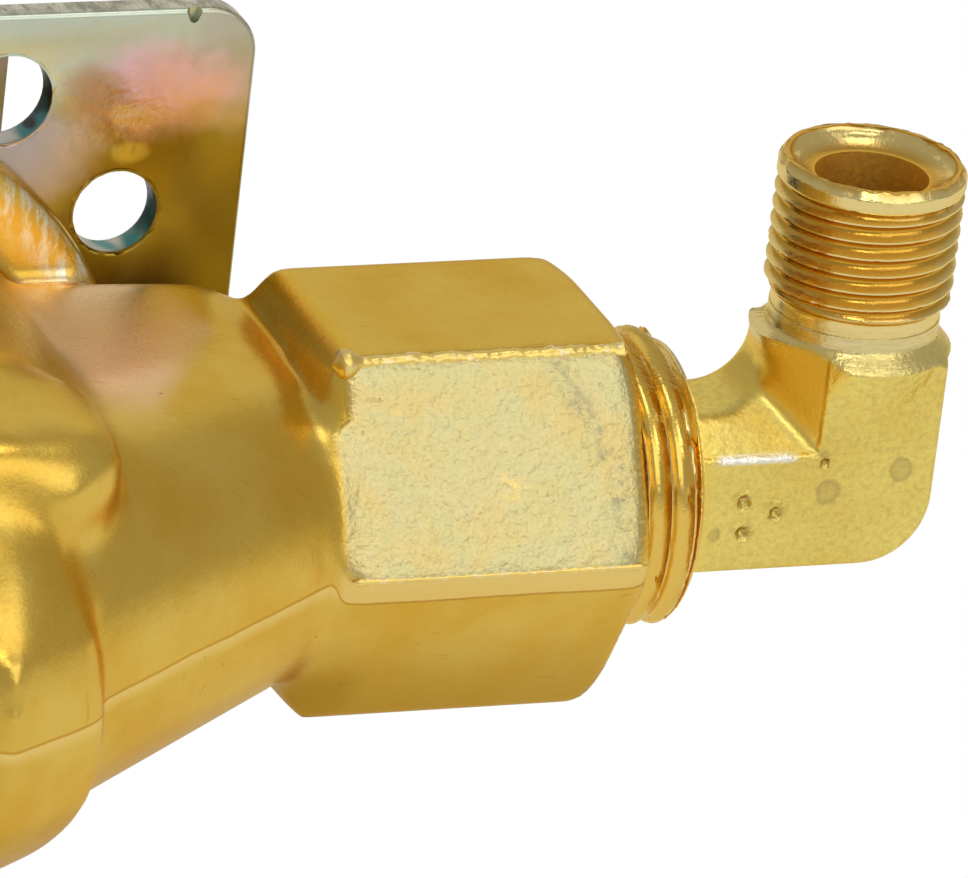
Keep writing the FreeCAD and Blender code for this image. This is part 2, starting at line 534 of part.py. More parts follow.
def make_elbow():
    """Forged elbow: taper thread into the outlet port, square block, tube thread upward."""
    body = new_body("outlet_elbow")
    inner = f"({PORT_FACE} - dim.elbow_screwed)"
    outer = f"({PORT_FACE} + dim.elbow_collar)"
    bevel_end = f"({outer} + dim.elbow_bevel)"
    inner_radius = "(dim.port_radius - dim.elbow_taper * dim.elbow_screwed)"
    outer_radius = "(dim.port_radius + dim.elbow_taper * dim.elbow_collar)"
    port_turned(body, [
        (inner, "0"), (bevel_end, "0"), (bevel_end, f"({outer_radius} - dim.elbow_bevel_depth)"),
        (outer, outer_radius), (PORT_FACE, "dim.port_radius"), (inner, inner_radius)])
    block = new_sketch(body, "XZ_Plane", ("0", "0", "dim.port_offset"))
    right = f"({ELBOW_X} + dim.elbow_half)"
    left = f"({ELBOW_X} - dim.elbow_leg_back)"
    bottom = minus("dim.elbow_half")
    draw_outline(block, [
        (outer, bottom), (f"({right} - dim.elbow_corner)", bottom, "dim.elbow_corner"),
        (right, f"({bottom} + dim.elbow_corner)"), (right, "dim.shoulder_place"),
        (left, "dim.shoulder_place"),
        (left, "(dim.elbow_arm_top + dim.elbow_inner)", "cw dim.elbow_inner"),
        (f"({left} - dim.elbow_inner)", "dim.elbow_arm_top"), (outer, "dim.elbow_arm_top")])
    block_pad = pad(body, block, "2 * dim.elbow_half", midplane=True)
    start_x = value(bevel_end)
    top_z = value("dim.shoulder_place")

    def on_face(edge):
        depth = abs(middle(edge).y - value(PORT_Y))
        return abs(depth - value("dim.elbow_half")) < 0.001

    def is_arm_top(edge):
        place = middle(edge)
        inside = place.x < value(left) + 0.01 and place.z > 0
        return on_face(edge) and inside and place.x > start_x + 0.01 and place.z < top_z - 0.01

    doc.recompute()
    chamfer = body.newObject("PartDesign::Chamfer", "elbow_arm_chamfer")
    names = [
        f"Edge{index}" for index, edge in enumerate(block_pad.Shape.Edges, start=1) if is_arm_top(edge)]
    chamfer.Base = (block_pad, names)
    chamfer.setExpression("Size", "dim.elbow_arm_chamfer")
    round_edges(body, chamfer, "dim.elbow_edge", lambda edge: (
        on_face(edge) and middle(edge).x > start_x + 0.01 and middle(edge).z < 0))
    relief = "(dim.shoulder_place + dim.shoulder_rim)"
    turning_foot = f"({relief} - dim.turning_depth)"
    outside = "(dim.turning_radius + dim.overrun)"
    turning = new_sketch(body, "XZ_Plane", (ELBOW_X, "0", "dim.port_offset"))
    draw_outline(turning, [
        ("dim.turning_radius", turning_foot), (outside, turning_foot), (outside, relief),
        ("dim.shoulder_radius", relief)])
    turn_about(body, turning, "V_Axis", removing=True)
    upright = new_sketch(body, "XZ_Plane", (ELBOW_X, "0", "dim.port_offset"))
    drop = "(dim.shoulder_place - dim.shoulder_drop)"
    lead = f"({relief} + dim.relief_height)"
    draw_outline(upright, [
        ("0", "dim.shoulder_root"), ("(dim.elbow_half - dim.shoulder_inset)", "dim.shoulder_root"),
        ("(dim.shoulder_radius + dim.shoulder_flare)", drop), ("dim.shoulder_radius", relief),
        ("dim.thread_relief", relief), ("dim.thread_relief", lead),
        ("dim.tube_thread", f"({lead} + dim.thread_lead)"),
        ("dim.tube_thread", "(dim.elbow_rise - dim.thread_chamfer)"),
        ("(dim.tube_thread - dim.thread_chamfer)", "dim.elbow_rise"), ("0", "dim.elbow_rise")])
    turn_about(body, upright, "V_Axis")
    bore_start = f"({inner} - dim.overrun)"
    port_turned(body, [
        (bore_start, "0"), (ELBOW_X, "0"), (ELBOW_X, "dim.elbow_bore"),
        (bore_start, "dim.elbow_bore")], removing=True)
    mouth = new_sketch(body, "XZ_Plane", (ELBOW_X, "0", "dim.port_offset"))
    above = "(dim.elbow_rise + dim.overrun)"
    draw_outline(mouth, [
        ("0", "0"), ("dim.elbow_bore", "0"), ("dim.elbow_bore", "(dim.elbow_rise - dim.mouth_depth)"),
        ("dim.mouth_radius", "dim.elbow_rise"), ("dim.mouth_radius", above), ("0", above)])
    turn_about(body, mouth, "V_Axis", removing=True)


def make_bracket():
    body = new_body("mounting_bracket")
    sketch = solenoid_sketch(body, "0")
    half_x = "(dim.plate_width / 2)"
    half_z = "(dim.plate_height / 2)"
    corner = "dim.plate_corner"
    low = "dim.plate_low_corner"
    draw_outline(sketch, [
        (f"({half_x} - {low})", minus(half_z), low), (half_x, f"({low} - {half_z})"),
        (half_x, f"({half_z} - {corner})", corner), (f"({half_x} - {corner})", half_z),
        (f"({corner} - {half_x})", half_z, corner), (minus(half_x), f"({half_z} - {corner})"),
        (minus(half_x), f"({low} - {half_z})", low), (f"({low} - {half_x})", minus(half_z))])
    plate = pad(body, sketch, "dim.plate_thickness")
    round_edges(body, plate, "dim.plate_edge", lambda edge: not is_along(edge, Vector(0, 1, 0)))
    bore = solenoid_sketch(body, "0")
    draw_circle(bore, ("0", "0"), "dim.bonnet_thread + dim.plate_bore_gap")
    pocket_through(body, bore)
    holes = solenoid_sketch(body, "0")
    for sign, radius in (("+", "dim.screw_hole_tall"), ("-", "dim.screw_hole_wide")):
        angle = f"(45 {sign} dim.screw_spread)"
        for side in ("1", "(0 - 1)"):
            place = (f"{side} * dim.screw_circle * cos({angle})", f"dim.screw_circle * sin({angle})")
            draw_circle(holes, place, radius)
    upper = pocket_through(body, holes)
    doc.recompute()
    pattern = body.newObject("PartDesign::PolarPattern", "screw_holes")
    pattern.Originals = [upper]
    pattern.Axis = (holes, ["N_Axis"])
    pattern.Angle = 360
    pattern.Occurrences = 2
    body.Tip = pattern


def make_bonnet():
    """Brass bonnet: threaded skirt that traps the diaphragm and a hexagonal head."""
    body = new_body("bonnet")
    head = solenoid_sketch(body, "dim.bonnet_head")
    draw_outline(head, hexagon("dim.bonnet_hex"))
    pad(body, head, "dim.bonnet_head")
    skirt = new_sketch(body, "XY_Plane")
    inside_head = "(dim.bonnet_head / 2)"
    draw_outline(skirt, [
        ("dim.tube_radius", BEAD_TOP), ("dim.bonnet_thread", BEAD_TOP),
        ("dim.bonnet_thread", inside_head), ("dim.tube_radius", inside_head)])
    turn_about(body, skirt, "V_Axis")
    hollow = new_sketch(body, "XY_Plane")
    below = f"({BEAD_TOP} - dim.overrun)"
    above = "(dim.bonnet_head + dim.overrun)"
    draw_outline(hollow, [
        ("0", below), ("dim.pilot_chamber", below), ("dim.pilot_chamber", CEILING),
        ("dim.tube_radius", CEILING), ("dim.tube_radius", above), ("0", above)])
    turn_about(body, hollow, "V_Axis", removing=True)
    groove = new_sketch(body, "XY_Plane")
    low = "(0 - dim.ring_depth - dim.ring_section)"
    high = "(dim.ring_section - dim.ring_depth)"
    floor = "(dim.bonnet_thread - 2 * dim.ring_section)"
    outside = "(dim.bonnet_thread + dim.overrun)"
    draw_outline(groove, [(floor, low), (outside, low), (outside, high), (floor, high)])
    turn_about(body, groove, "V_Axis", removing=True)
    bevel_hexagon(body, "dim.bonnet_hex", "dim.bonnet_head", "dim.bonnet_chamfer", "1")


def make_ring(name, station, radius, section):
    body = new_body(name)
    sketch = new_sketch(body, "XY_Plane")
    draw_circle(sketch, (radius, station), section)
    turn_about(body, sketch, "V_Axis")
    return body


def make_diaphragm():
    return turned_body("diaphragm", [
        ("dim.diaphragm_hub", SEAT), ("dim.diaphragm_core", SEAT),
        ("(dim.diaphragm_core + dim.web_slope)", f"({BEAD_TOP} - dim.diaphragm_web)"),
        ("(dim.pilot_chamber + dim.web_rim)", f"({BEAD_TOP} - dim.diaphragm_web)"),
        ("dim.chamber_radius", LEDGE), ("dim.bonnet_thread", LEDGE),
        ("dim.bonnet_thread", BEAD_TOP), ("dim.diaphragm_hub", BEAD_TOP)])


def make_insert():
    return turned_body("diaphragm_insert", [
        ("dim.pilot_hole", SEAT), ("dim.diaphragm_hub", SEAT), ("dim.diaphragm_hub", BEAD_TOP),
        ("dim.insert_radius", BEAD_TOP), ("dim.insert_radius", INSERT_TOP),
        ("dim.seal_radius", INSERT_TOP), ("(dim.pilot_hole + dim.pilot_wall)", PILOT_SEAT),
        ("dim.pilot_hole", PILOT_SEAT)])


def make_spring(name, foot, height, radius, wire, turns):
    """A helical spring about the solenoid axis, with its ends wire-thick."""
    body = new_body(name)
    sketch = new_sketch(body, "XY_Plane")
    draw_circle(sketch, (radius, f"({foot} + {wire} + dim.spring_clearance)"), wire)
    doc.recompute()
    helix = body.newObject("PartDesign::AdditiveHelix", name + "_helix")
    helix.Profile = sketch
    helix.ReferenceAxis = (sketch, ["V_Axis"])
    helix.Mode = "height-turns-angle"
    helix.setExpression("Height", f"({height}) - 2 * {wire} - 2 * dim.spring_clearance")
    helix.setExpression("Turns", turns)
    return body


def make_guide_tube():
    return turned_body("guide_tube", [
        (TUBE_BORE, CEILING), ("dim.tube_radius", CEILING), ("dim.tube_radius", TUBE_TOP),
        (TUBE_BORE, TUBE_TOP)])


def make_plunger():
    body = new_body("plunger")
    sketch = new_sketch(body, "XY_Plane")
    radius = f"({TUBE_BORE} - dim.plunger_gap)"
    recess = f"({PLUNGER_FOOT} + dim.seal_height - dim.seal_proud)"
    bore_floor = f"({PLUNGER_TOP} - dim.spring_bore_depth)"
    end_radius = f"({radius} - dim.plunger_chamfer)"
    draw_outline(sketch, [
        ("0", recess), ("dim.seal_radius", recess), ("dim.seal_radius", PLUNGER_FOOT),
        (end_radius, PLUNGER_FOOT), (radius, f"({PLUNGER_FOOT} + dim.plunger_chamfer)"),
        (radius, f"({PLUNGER_TOP} - dim.plunger_chamfer)"), (end_radius, PLUNGER_TOP),
        ("dim.spring_bore", PLUNGER_TOP), ("dim.spring_bore", bore_floor), ("0", bore_floor)])
    turn_about(body, sketch, "V_Axis")
    flats = solenoid_sketch(body, PLUNGER_FOOT)
    near = f"({radius} - dim.plunger_flat)"
    far = f"({radius} + dim.overrun)"
    half = f"({radius} / 2)"
    for low, high in ((near, far), (minus(far), minus(near))):
        draw_outline(flats, [(low, minus(half)), (high, minus(half)), (high, half), (low, half)])
    pocket_through(body, flats)


def make_plunger_seal():
    return turned_body("plunger_seal", [
        ("0", PILOT_SEAT), ("(dim.seal_radius - dim.seal_chamfer)", PILOT_SEAT),
        ("dim.seal_radius", f"({PILOT_SEAT} + dim.seal_chamfer)"),
        ("dim.seal_radius", f"({PILOT_SEAT} + dim.seal_height)"),
        ("0", f"({PILOT_SEAT} + dim.seal_height)")])


def make_core_stop():
    """Fixed core with its stud, and the shading ring let into the core's face."""
    inner = "(dim.ring_groove - dim.shading_width / 2)"
    outer = "(dim.ring_groove + dim.shading_width / 2)"
    shelf = f"({STOP_FACE} + dim.shading_depth)"
    stud_end = f"({NUT_FOOT} + dim.nut_height + dim.stud_free)"
    turned_body("core_stop", [
        ("0", STOP_FACE), (inner, STOP_FACE), (inner, shelf), (outer, shelf), (outer, STOP_FACE),
        (TUBE_BORE, STOP_FACE), (TUBE_BORE, TUBE_TOP), ("dim.stud_radius", TUBE_TOP),
        ("dim.stud_radius", f"({stud_end} - dim.stud_chamfer)"),
        ("(dim.stud_radius - dim.stud_chamfer)", stud_end), ("0", stud_end)])
    turned_body("shading_ring", [(inner, STOP_FACE), (outer, STOP_FACE), (outer, shelf), (inner, shelf)])


def make_washer(name, foot, top, bore, radius):
    turned_body(name, [(bore, foot), (radius, foot), (radius, top), (bore, top)])


def make_yoke():
    """Steel yoke folded into a U under the coil, bored for the guide tube and the stud."""
    body = new_body("yoke")
    sketch = new_sketch(body, "YZ_Plane")
    top = "(dim.yoke_height / 2)"
    bottom = minus(top)
    sheet = "dim.yoke_sheet"
    outer = "(dim.yoke_bend + dim.yoke_sheet)"
    inner_floor = f"({bottom} + {sheet})"
    draw_outline(sketch, [
        (GASKET_TOP, top), (GASKET_TOP, f"({bottom} + {outer})", outer),
        (f"({GASKET_TOP} + {outer})", bottom), (f"({YOKE_BACK} - {outer})", bottom, outer),
        (YOKE_BACK, f"({bottom} + {outer})"), (YOKE_BACK, top), (COIL_BACK, top),
        (COIL_BACK, f"({inner_floor} + dim.yoke_bend)", "cw dim.yoke_bend"),
        (f"({COIL_BACK} - dim.yoke_bend)", inner_floor),
        (f"({COIL_FRONT} + dim.yoke_bend)", inner_floor, "cw dim.yoke_bend"),
        (COIL_FRONT, f"({inner_floor} + dim.yoke_bend)"), (COIL_FRONT, top)])
    pad(body, sketch, "dim.yoke_width", midplane=True)
    holes = new_sketch(body, "XY_Plane")
    start = f"({GASKET_TOP} - dim.overrun)"
    change = f"({COIL_FRONT} + dim.overrun)"
    end = f"({YOKE_BACK} + dim.overrun)"
    draw_outline(holes, [
        ("0", start), (SLIDE_BORE, start), (SLIDE_BORE, change), (STUD_BORE, change), (STUD_BORE, end),
        ("0", end)])
    turn_about(body, holes, "V_Axis", removing=True)


def make_coil():
    """Winding on its bobbin, inside a moulded case with a terminal block."""
    bobbin_radius = "(dim.coil_width / 2 - dim.case_skin)"
    sleeve = f"({SLIDE_BORE} + dim.bobbin_wall)"
    front = f"({COIL_FRONT} + dim.case_wall)"
    back = f"({COIL_BACK} - dim.case_wall)"
    wind_front = f"({front} + dim.bobbin_wall)"
    wind_back = f"({back} - dim.bobbin_wall)"
    turned_body("coil_bobbin", [
        (SLIDE_BORE, front), (bobbin_radius, front), (bobbin_radius, wind_front), (sleeve, wind_front),
        (sleeve, wind_back), (bobbin_radius, wind_back), (bobbin_radius, back), (SLIDE_BORE, back)])
    turned_body("coil_winding", [
        (sleeve, wind_front), (bobbin_radius, wind_front), (bobbin_radius, wind_back), (sleeve, wind_back)])
    case = new_body("coil_case")
    sketch = solenoid_sketch(case, COIL_BACK)
    half_x = "(dim.coil_width / 2)"
    draw_outline(sketch, [
        (minus(half_x), minus(COIL_HALF_HEIGHT)), (half_x, minus(COIL_HALF_HEIGHT)),
        (half_x, COIL_HALF_HEIGHT), (minus(half_x), COIL_HALF_HEIGHT)])
    box = pad(case, sketch, "dim.coil_length")
    round_edges(case, box, "dim.coil_round", lambda edge: is_along(edge, Vector(0, 1, 0)))
    block_y = f"({COIL_FRONT} + dim.block_place)"
    block = new_sketch(case, "XY_Plane", ("0", block_y, f"({COIL_HALF_HEIGHT} - dim.overrun)"))
    half_w = "(dim.block_width / 2)"
    half_d = "(dim.block_depth / 2)"
    draw_outline(block, [
        (minus(half_w), minus(half_d)), (half_w, minus(half_d)), (half_w, half_d), (minus(half_w), half_d)])
    pad(case, block, "dim.block_height + dim.overrun")
    hollow = new_sketch(case, "XY_Plane")
    start = f"({COIL_FRONT} - dim.overrun)"
    end = f"({COIL_BACK} + dim.overrun)"
    draw_outline(hollow, [
        ("0", start), (SLIDE_BORE, start), (SLIDE_BORE, front), (bobbin_radius, front),
        (bobbin_radius, back), (SLIDE_BORE, back), (SLIDE_BORE, end), ("0", end)])
    turn_about(case, hollow, "V_Axis", removing=True)
    slots = new_sketch(case, "XY_Plane", ("0", block_y, f"({BLOCK_TOP} - dim.blade_root)"))
    half_t = "(dim.blade_thickness / 2)"
    half_b = "(dim.blade_width / 2)"
    for side in ("(0 - dim.blade_spacing / 2)", "(dim.blade_spacing / 2)"):
        draw_outline(slots, [
            (f"({side} - {half_t})", minus(half_b)), (f"({side} + {half_t})", minus(half_b)),
            (f"({side} + {half_t})", half_b), (f"({side} - {half_t})", half_b)])
    cut = case.newObject("PartDesign::Pocket", "blade_slots")
    cut.Profile = slots
    cut.Reversed = True
    cut.setExpression("Length", "dim.blade_root + dim.overrun")


def make_terminal(name, side):
    """A flat terminal blade with its hole and bevelled tip, standing in the block."""
    body = new_body(name)
    foot = (f"({COIL_FRONT} + dim.block_place)", BLOCK_TOP, f"{side} * dim.blade_spacing / 2")
    sketch = new_sketch(body, "YZ_Plane", foot)
    half = "(dim.blade_width / 2)"
    tip_half = f"({half} - dim.blade_bevel)"
    tip_start = "(dim.blade_length - dim.blade_bevel)"
    draw_outline(sketch, [
        (minus(half), minus("dim.blade_root")), (half, minus("dim.blade_root")), (half, tip_start),
        (tip_half, "dim.blade_length"), (minus(tip_half), "dim.blade_length"), (minus(half), tip_start)])
    pad(body, sketch, "dim.blade_thickness", midplane=True)
    hole = new_sketch(body, "YZ_Plane", foot)
    draw_circle(hole, ("0", "dim.blade_hole_place"), "dim.blade_hole")
    pocket_through(body, hole)


def make_nut():
    body = new_body("coil_nut")
    sketch = solenoid_sketch(body, f"({NUT_FOOT} + dim.nut_height)")
    draw_outline(sketch, hexagon("dim.nut_flats"))
    draw_circle(sketch, ("0", "0"), "dim.stud_radius")
    pad(body, sketch, "dim.nut_height")
    bevel_hexagon(body, "dim.nut_flats", f"({NUT_FOOT} + dim.nut_height)", "dim.nut_chamfer", "1")
    bevel_hexagon(body, "dim.nut_flats", NUT_FOOT, "dim.nut_chamfer", "0 - 1")


def port_body(name, corners):
    port_turned(new_body(name), corners)


def make_inlet_pieces():
    """Strainer, its snap ring and the flow washer, in the inlet port."""
    floor = minus(PORT_FLOOR)
    rim = f"({floor} - dim.strainer_rim)"
    ring_face = f"({rim} - dim.snap_ring)"
    tip = f"({rim} - dim.strainer_length)"
    wall = "dim.strainer_wall"
    port_body("inlet_strainer", [
        (floor, f"(dim.strainer_radius - {wall})"), (floor, "dim.port_floor_radius"),
        (rim, "dim.port_floor_radius"), (rim, "dim.strainer_radius"), (tip, "dim.strainer_radius"),
        (tip, "0"), (f"({tip} + {wall})", "0"), (f"({tip} + {wall})", f"(dim.strainer_radius - {wall})")])
    port_body("strainer_ring", [
        (rim, "dim.snap_ring_bore"), (rim, "dim.port_floor_radius"),
        (ring_face, "dim.port_floor_radius"), (ring_face, "dim.snap_ring_bore")])
    back = f"({floor} + dim.flow_washer_height)"
    port_body("flow_washer", [
        (floor, "dim.flow_washer_hole"), (floor, "dim.flow_washer_radius"),
        (back, "dim.flow_washer_radius"), (back, "dim.flow_washer_hole")])


make_valve_body()
make_elbow()
make_bracket()
make_bonnet()
make_ring("bonnet_o_ring", minus("dim.ring_depth"), "(dim.bonnet_thread - dim.ring_section)",
          "dim.ring_section")
make_diaphragm()
make_insert()
make_spring("diaphragm_spring", INSERT_TOP, f"{CEILING} - {INSERT_TOP}", "dim.lift_spring_radius",
            "dim.lift_spring_wire", "dim.lift_spring_turns")
make_guide_tube()
make_plunger()
make_plunger_seal()
make_spring("plunger_spring", f"({PLUNGER_TOP} - dim.spring_bore_depth)",
            "dim.spring_bore_depth + dim.plunger_travel", "dim.plunger_spring_radius",
            "dim.plunger_spring_wire", "dim.plunger_spring_turns")
make_core_stop()
make_washer("coil_gasket", "dim.bonnet_head", GASKET_TOP, SLIDE_BORE, "dim.gasket_radius")
make_yoke()
make_coil()
make_terminal("terminal_left", "(0 - 1)")
make_terminal("terminal_right", "1")
make_washer("coil_washer", YOKE_BACK, NUT_FOOT, STUD_BORE, "dim.washer_radius")
make_nut()
make_inlet_pieces()

NODES = [
    "valve_body", "outlet_elbow", "mounting_bracket", "bonnet", "bonnet_o_ring", "diaphragm",
    "diaphragm_insert", "diaphragm_spring", "guide_tube", "plunger", "plunger_seal",
    "plunger_spring", "core_stop", "shading_ring", "coil_gasket", "yoke", "coil_case",
    "coil_bobbin", "coil_winding", "terminal_left", "terminal_right", "coil_washer", "coil_nut",
    "inlet_strainer", "strainer_ring", "flow_washer",
]

doc.recompute()
faults = [
    f"{item.Label}: {item.State}" for item in doc.Objects
    if "Invalid" in item.State or "Error" in item.State]
nodes = {}
for name in NODES:
    item = doc.getObjectsByLabel(name)[0]
    nodes[name] = item
    if item.Shape.isNull() or not item.Shape.isValid() or not item.Shape.Solids:
        faults.append(f"{name}: no valid solid")
if faults:
    print("\n".join(faults))
    sys.exit(1)

os.makedirs("parts", exist_ok=True)
for name, item in nodes.items():
    shape = item.Shape
    box = shape.BoundBox
    print(f"{name:18s} solids {len(shape.Solids)} volume {shape.Volume:10.2f}"
          f"  X {box.XMin:7.2f} {box.XMax:7.2f}  Y {box.YMin:7.2f} {box.YMax:7.2f}"
          f"  Z {box.ZMin:7.2f} {box.ZMax:7.2f}")
    shape.exportStep(f"parts/{name}.step")
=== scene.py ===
"""Looks of the ice machine's water valve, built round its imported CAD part."""

import json
import logging
import math
from dataclasses import dataclass, field
from enum import Enum
from functools import cached_property
from typing import Callable, Iterable, Sequence

import bmesh
import bpy
from mathutils import Matrix, Vector, noise


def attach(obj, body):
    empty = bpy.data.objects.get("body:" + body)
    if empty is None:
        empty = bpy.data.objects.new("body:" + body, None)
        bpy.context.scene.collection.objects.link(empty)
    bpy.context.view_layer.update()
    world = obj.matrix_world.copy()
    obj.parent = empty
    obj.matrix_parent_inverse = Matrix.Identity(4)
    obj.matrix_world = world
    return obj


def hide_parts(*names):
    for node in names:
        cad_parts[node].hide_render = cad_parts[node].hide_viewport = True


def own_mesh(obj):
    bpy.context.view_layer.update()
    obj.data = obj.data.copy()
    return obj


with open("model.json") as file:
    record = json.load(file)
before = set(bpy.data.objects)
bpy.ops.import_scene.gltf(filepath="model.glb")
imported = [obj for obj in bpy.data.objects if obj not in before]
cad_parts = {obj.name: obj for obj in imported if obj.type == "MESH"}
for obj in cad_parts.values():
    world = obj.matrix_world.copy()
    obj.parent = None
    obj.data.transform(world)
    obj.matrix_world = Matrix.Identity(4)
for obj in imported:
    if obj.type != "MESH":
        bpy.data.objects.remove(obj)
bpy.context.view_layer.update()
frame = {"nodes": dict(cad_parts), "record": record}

log = logging.getLogger("water_valve")

MM = 0.001
MERGE = 0.0005
PHOTO_WIDTH = 968
PORT_Y = -15.0
ELBOW_X = 60.7
PIPE_PITCH = 1.411
GLANCE = (1.0, 0.86, 0.58)

Triple = tuple[float, float, float]
Color = Triple
Profile = Sequence[tuple[float, float]]
Weigh = Callable[[Vector, Vector], dict[str, float]]


class Join(Enum):
    """Ways of putting two solids together."""

    UNION = "UNION"
    CUT = "DIFFERENCE"


class Axis(Enum):
    """The three lines that the turned pieces stand on."""

    PORT = "port"
    TUBE = "tube"
    SOLENOID = "solenoid"

    def point(self, radius: float, along: float) -> Vector:
        """Places a profile point beside this axis.

        Args:
            radius: Distance from the axis, in millimetres.
            along: Station along the axis, in millimetres.

        Returns:
            The point in the row frame, in millimetres.
        """
        if self is Axis.PORT:
            return Vector((along, PORT_Y, radius))
        if self is Axis.TUBE:
            return Vector((ELBOW_X + radius, PORT_Y, along))
        return Vector((radius, along, 0))

    @property
    def centre(self) -> Vector:
        """A point on the axis."""
        return self.point(0, 0)

    @property
    def direction(self) -> Vector:
        """The axis's direction."""
        return self.point(0, 1) - self.point(0, 0)

    def split(self, place: Vector) -> tuple[float, float, Vector]:
        """Splits a point into its station, radius and outward direction.

        Args:
            place: A point in millimetres.

        Returns:
            Station along the axis, radius and unit vector away from the axis.
        """
        offset = place - self.centre
        along = offset.dot(self.direction)
        outward = offset - self.direction * along
        radius = outward.length
        return along, radius, outward / radius if radius > 1e-6 else Vector((0, 0, 0))


@dataclass(frozen=True)
class Wire:
    """A node's output. Arithmetic with it adds the next node."""

    nodes: "Nodes"
    socket: bpy.types.NodeSocket

    def __add__(self, other: "Wire | float") -> "Wire":
        """Adds a value."""
        return self.nodes.maths("ADD", self, other)

    def __sub__(self, other: "Wire | float") -> "Wire":
        """Takes a value away."""
        return self.nodes.maths("SUBTRACT", self, other)

    def __rsub__(self, other: float) -> "Wire":
        """Takes this value away from a number."""
        return self.nodes.maths("SUBTRACT", other, self)

    def __mul__(self, other: "Wire | float") -> "Wire":
        """Multiplies by a value."""
        return self.nodes.maths("MULTIPLY", self, other)

    def __abs__(self) -> "Wire":
        """Drops the sign."""
        return self.nodes.maths("ABSOLUTE", self)

    def larger(self, other: "Wire") -> "Wire":
        """Takes the larger of two values."""
        return self.nodes.maths("MAXIMUM", self, other)

    def span(self, low: float, high: float, start: float = 0.0,
             end: float = 1.0) -> "Wire":
        """Maps a range to another smoothly, clamped at both ends.

        Args:
            low: Value that gives the start.
            high: Value that gives the end.
            start: Result at and under low.
            end: Result at and over high.

        Returns:
            The mapped value.
        """
        feeds = dict(enumerate((self, low, high, start, end)))
        return self.nodes.out("ShaderNodeMapRange", feeds, interpolation_type="SMOOTHSTEP")


class Nodes:
    """A node tree with short calls for the nodes that the finishes share."""

    def __init__(self, owner: bpy.types.ID, output: str = "ShaderNodeOutputMaterial") -> None:
        """Empties the owner's tree but for its output.

        Args:
            owner: The material or world.
            output: Type of its output node.
        """
        owner.use_nodes = True
        self.owner = owner
        self.tree = owner.node_tree
        self.tree.nodes.clear()
        self.surface = self.add(output).inputs["Surface"]

    @cached_property
    def place(self) -> Wire:
        """The object's own coordinates."""
        return self.out("ShaderNodeTexCoord", output="Object")

    def add(self, kind: str, feeds: dict | None = None, **settings: object) -> bpy.types.Node:
        """Adds a node.

        Args:
            kind: Blender's node type.
            feeds: What goes into its inputs, by name or number.
            settings: Attributes to set on the node.

        Returns:
            The new node.
        """
        node = self.tree.nodes.new(kind)
        for key, value in settings.items():
            setattr(node, key, value)
        for key, value in (feeds or {}).items():
            self.feed(node.inputs[key], value)
        return node

    def out(self, kind: str, feeds: dict | None = None, output: int | str = 0,
            **settings: object) -> Wire:
        """Adds a node as add does, and hands over one of its outputs."""
        return Wire(self, self.add(kind, feeds, **settings).outputs[output])

    def feed(self, socket: bpy.types.NodeSocket, value: object) -> None:
        """Links a wire to a socket, or sets the socket's own value.

        Args:
            socket: The socket.
            value: A wire, a number, a vector or a colour without its alpha.
        """
        if isinstance(value, Wire):
            self.tree.links.new(value.socket, socket)
        else:
            socket.default_value = (*value, 1) if socket.type == "RGBA" else value

    def noise(self, scale: float, detail: float = 3.0, rough: float = 0.55,
              stretch: Triple = (1, 1, 1)) -> Wire:
        """Noise over the object's own coordinates.

        Args:
            scale: Features per metre.
            detail: Octaves.
            rough: Share of the finer octaves.
            stretch: Scale along X, Y and Z.

        Returns:
            The noise's factor.
        """
        place = self.out("ShaderNodeMapping", {"Vector": self.place, "Scale": stretch})
        feeds = {"Vector": place, "Scale": scale, "Detail": detail, "Roughness": rough}
        return self.out("ShaderNodeTexNoise", feeds, "Fac")

    def cells(self, scale: float) -> Wire:
        """Distance to scattered points, so many to a metre."""
        return self.out("ShaderNodeTexVoronoi", {"Vector": self.place, "Scale": scale}, "Distance")

    def along(self, axis: str) -> Wire:
        """Place along X, Y or Z in metres."""
        return self.out("ShaderNodeSeparateXYZ", {0: self.place}, axis)

    def marks(self, *names: str) -> list[Wire]:
        """Reads mesh attributes that a piece's own code has painted."""
        return [self.out("ShaderNodeAttribute", None, "Fac", attribute_name=name) for name in names]

    def maths(self, operation: str, first: Wire | float, second: Wire | float = 0.0) -> Wire:
        """Combines two values by Blender's name of the operation."""
        return self.out("ShaderNodeMath", {0: first, 1: second}, operation=operation)

    def coats(self, tone: Wire | Color, *layers: tuple[Wire, Wire | Color]) -> Wire:
        """Lays colours over one another.

        Args:
            tone: The lowest colour.
            layers: Share and colour of each coat, from below upwards.

        Returns:
            The colour that shows.
        """
        for share, color in layers:
            tone = self.out("ShaderNodeMix", {0: share, 6: tone, 7: color}, 2, data_type="RGBA")
        return tone

    def relief(self, *layers: tuple[Wire, float, float]) -> Wire:
        """Bumps the surface by heights, one on the other.

        Args:
            layers: Height, metres that a height of 1 stands for, and strength of each.

        Returns:
            The normal.
        """
        under = {}
        for height, depth, strength in layers:
            feeds = {"Height": height, "Distance": depth, "Strength": strength}
            under = {"Normal": self.out("ShaderNodeBump", {**feeds, **under})}
        return under["Normal"]

    def shader(self, color: Wire, rough: Wire | float, normal: Wire, metallic: float = 1.0,
               glance: Color = (1, 1, 1)) -> bpy.types.Material:
        """Finishes the material with one surface shader.

        Args:
            color: Its colour.
            rough: Its roughness.
            normal: Its normal.
            metallic: 1 for metal and 0 for all else.
            glance: Colour that a metal shows at a glancing angle.

        Returns:
            The material.
        """
        feeds = {"Base Color": color, "Roughness": rough, "Normal": normal, "Metallic": metallic}
        feeds["Specular Tint"] = glance
        self.feed(self.surface, self.out("ShaderNodeBsdfPrincipled", feeds))
        return self.owner


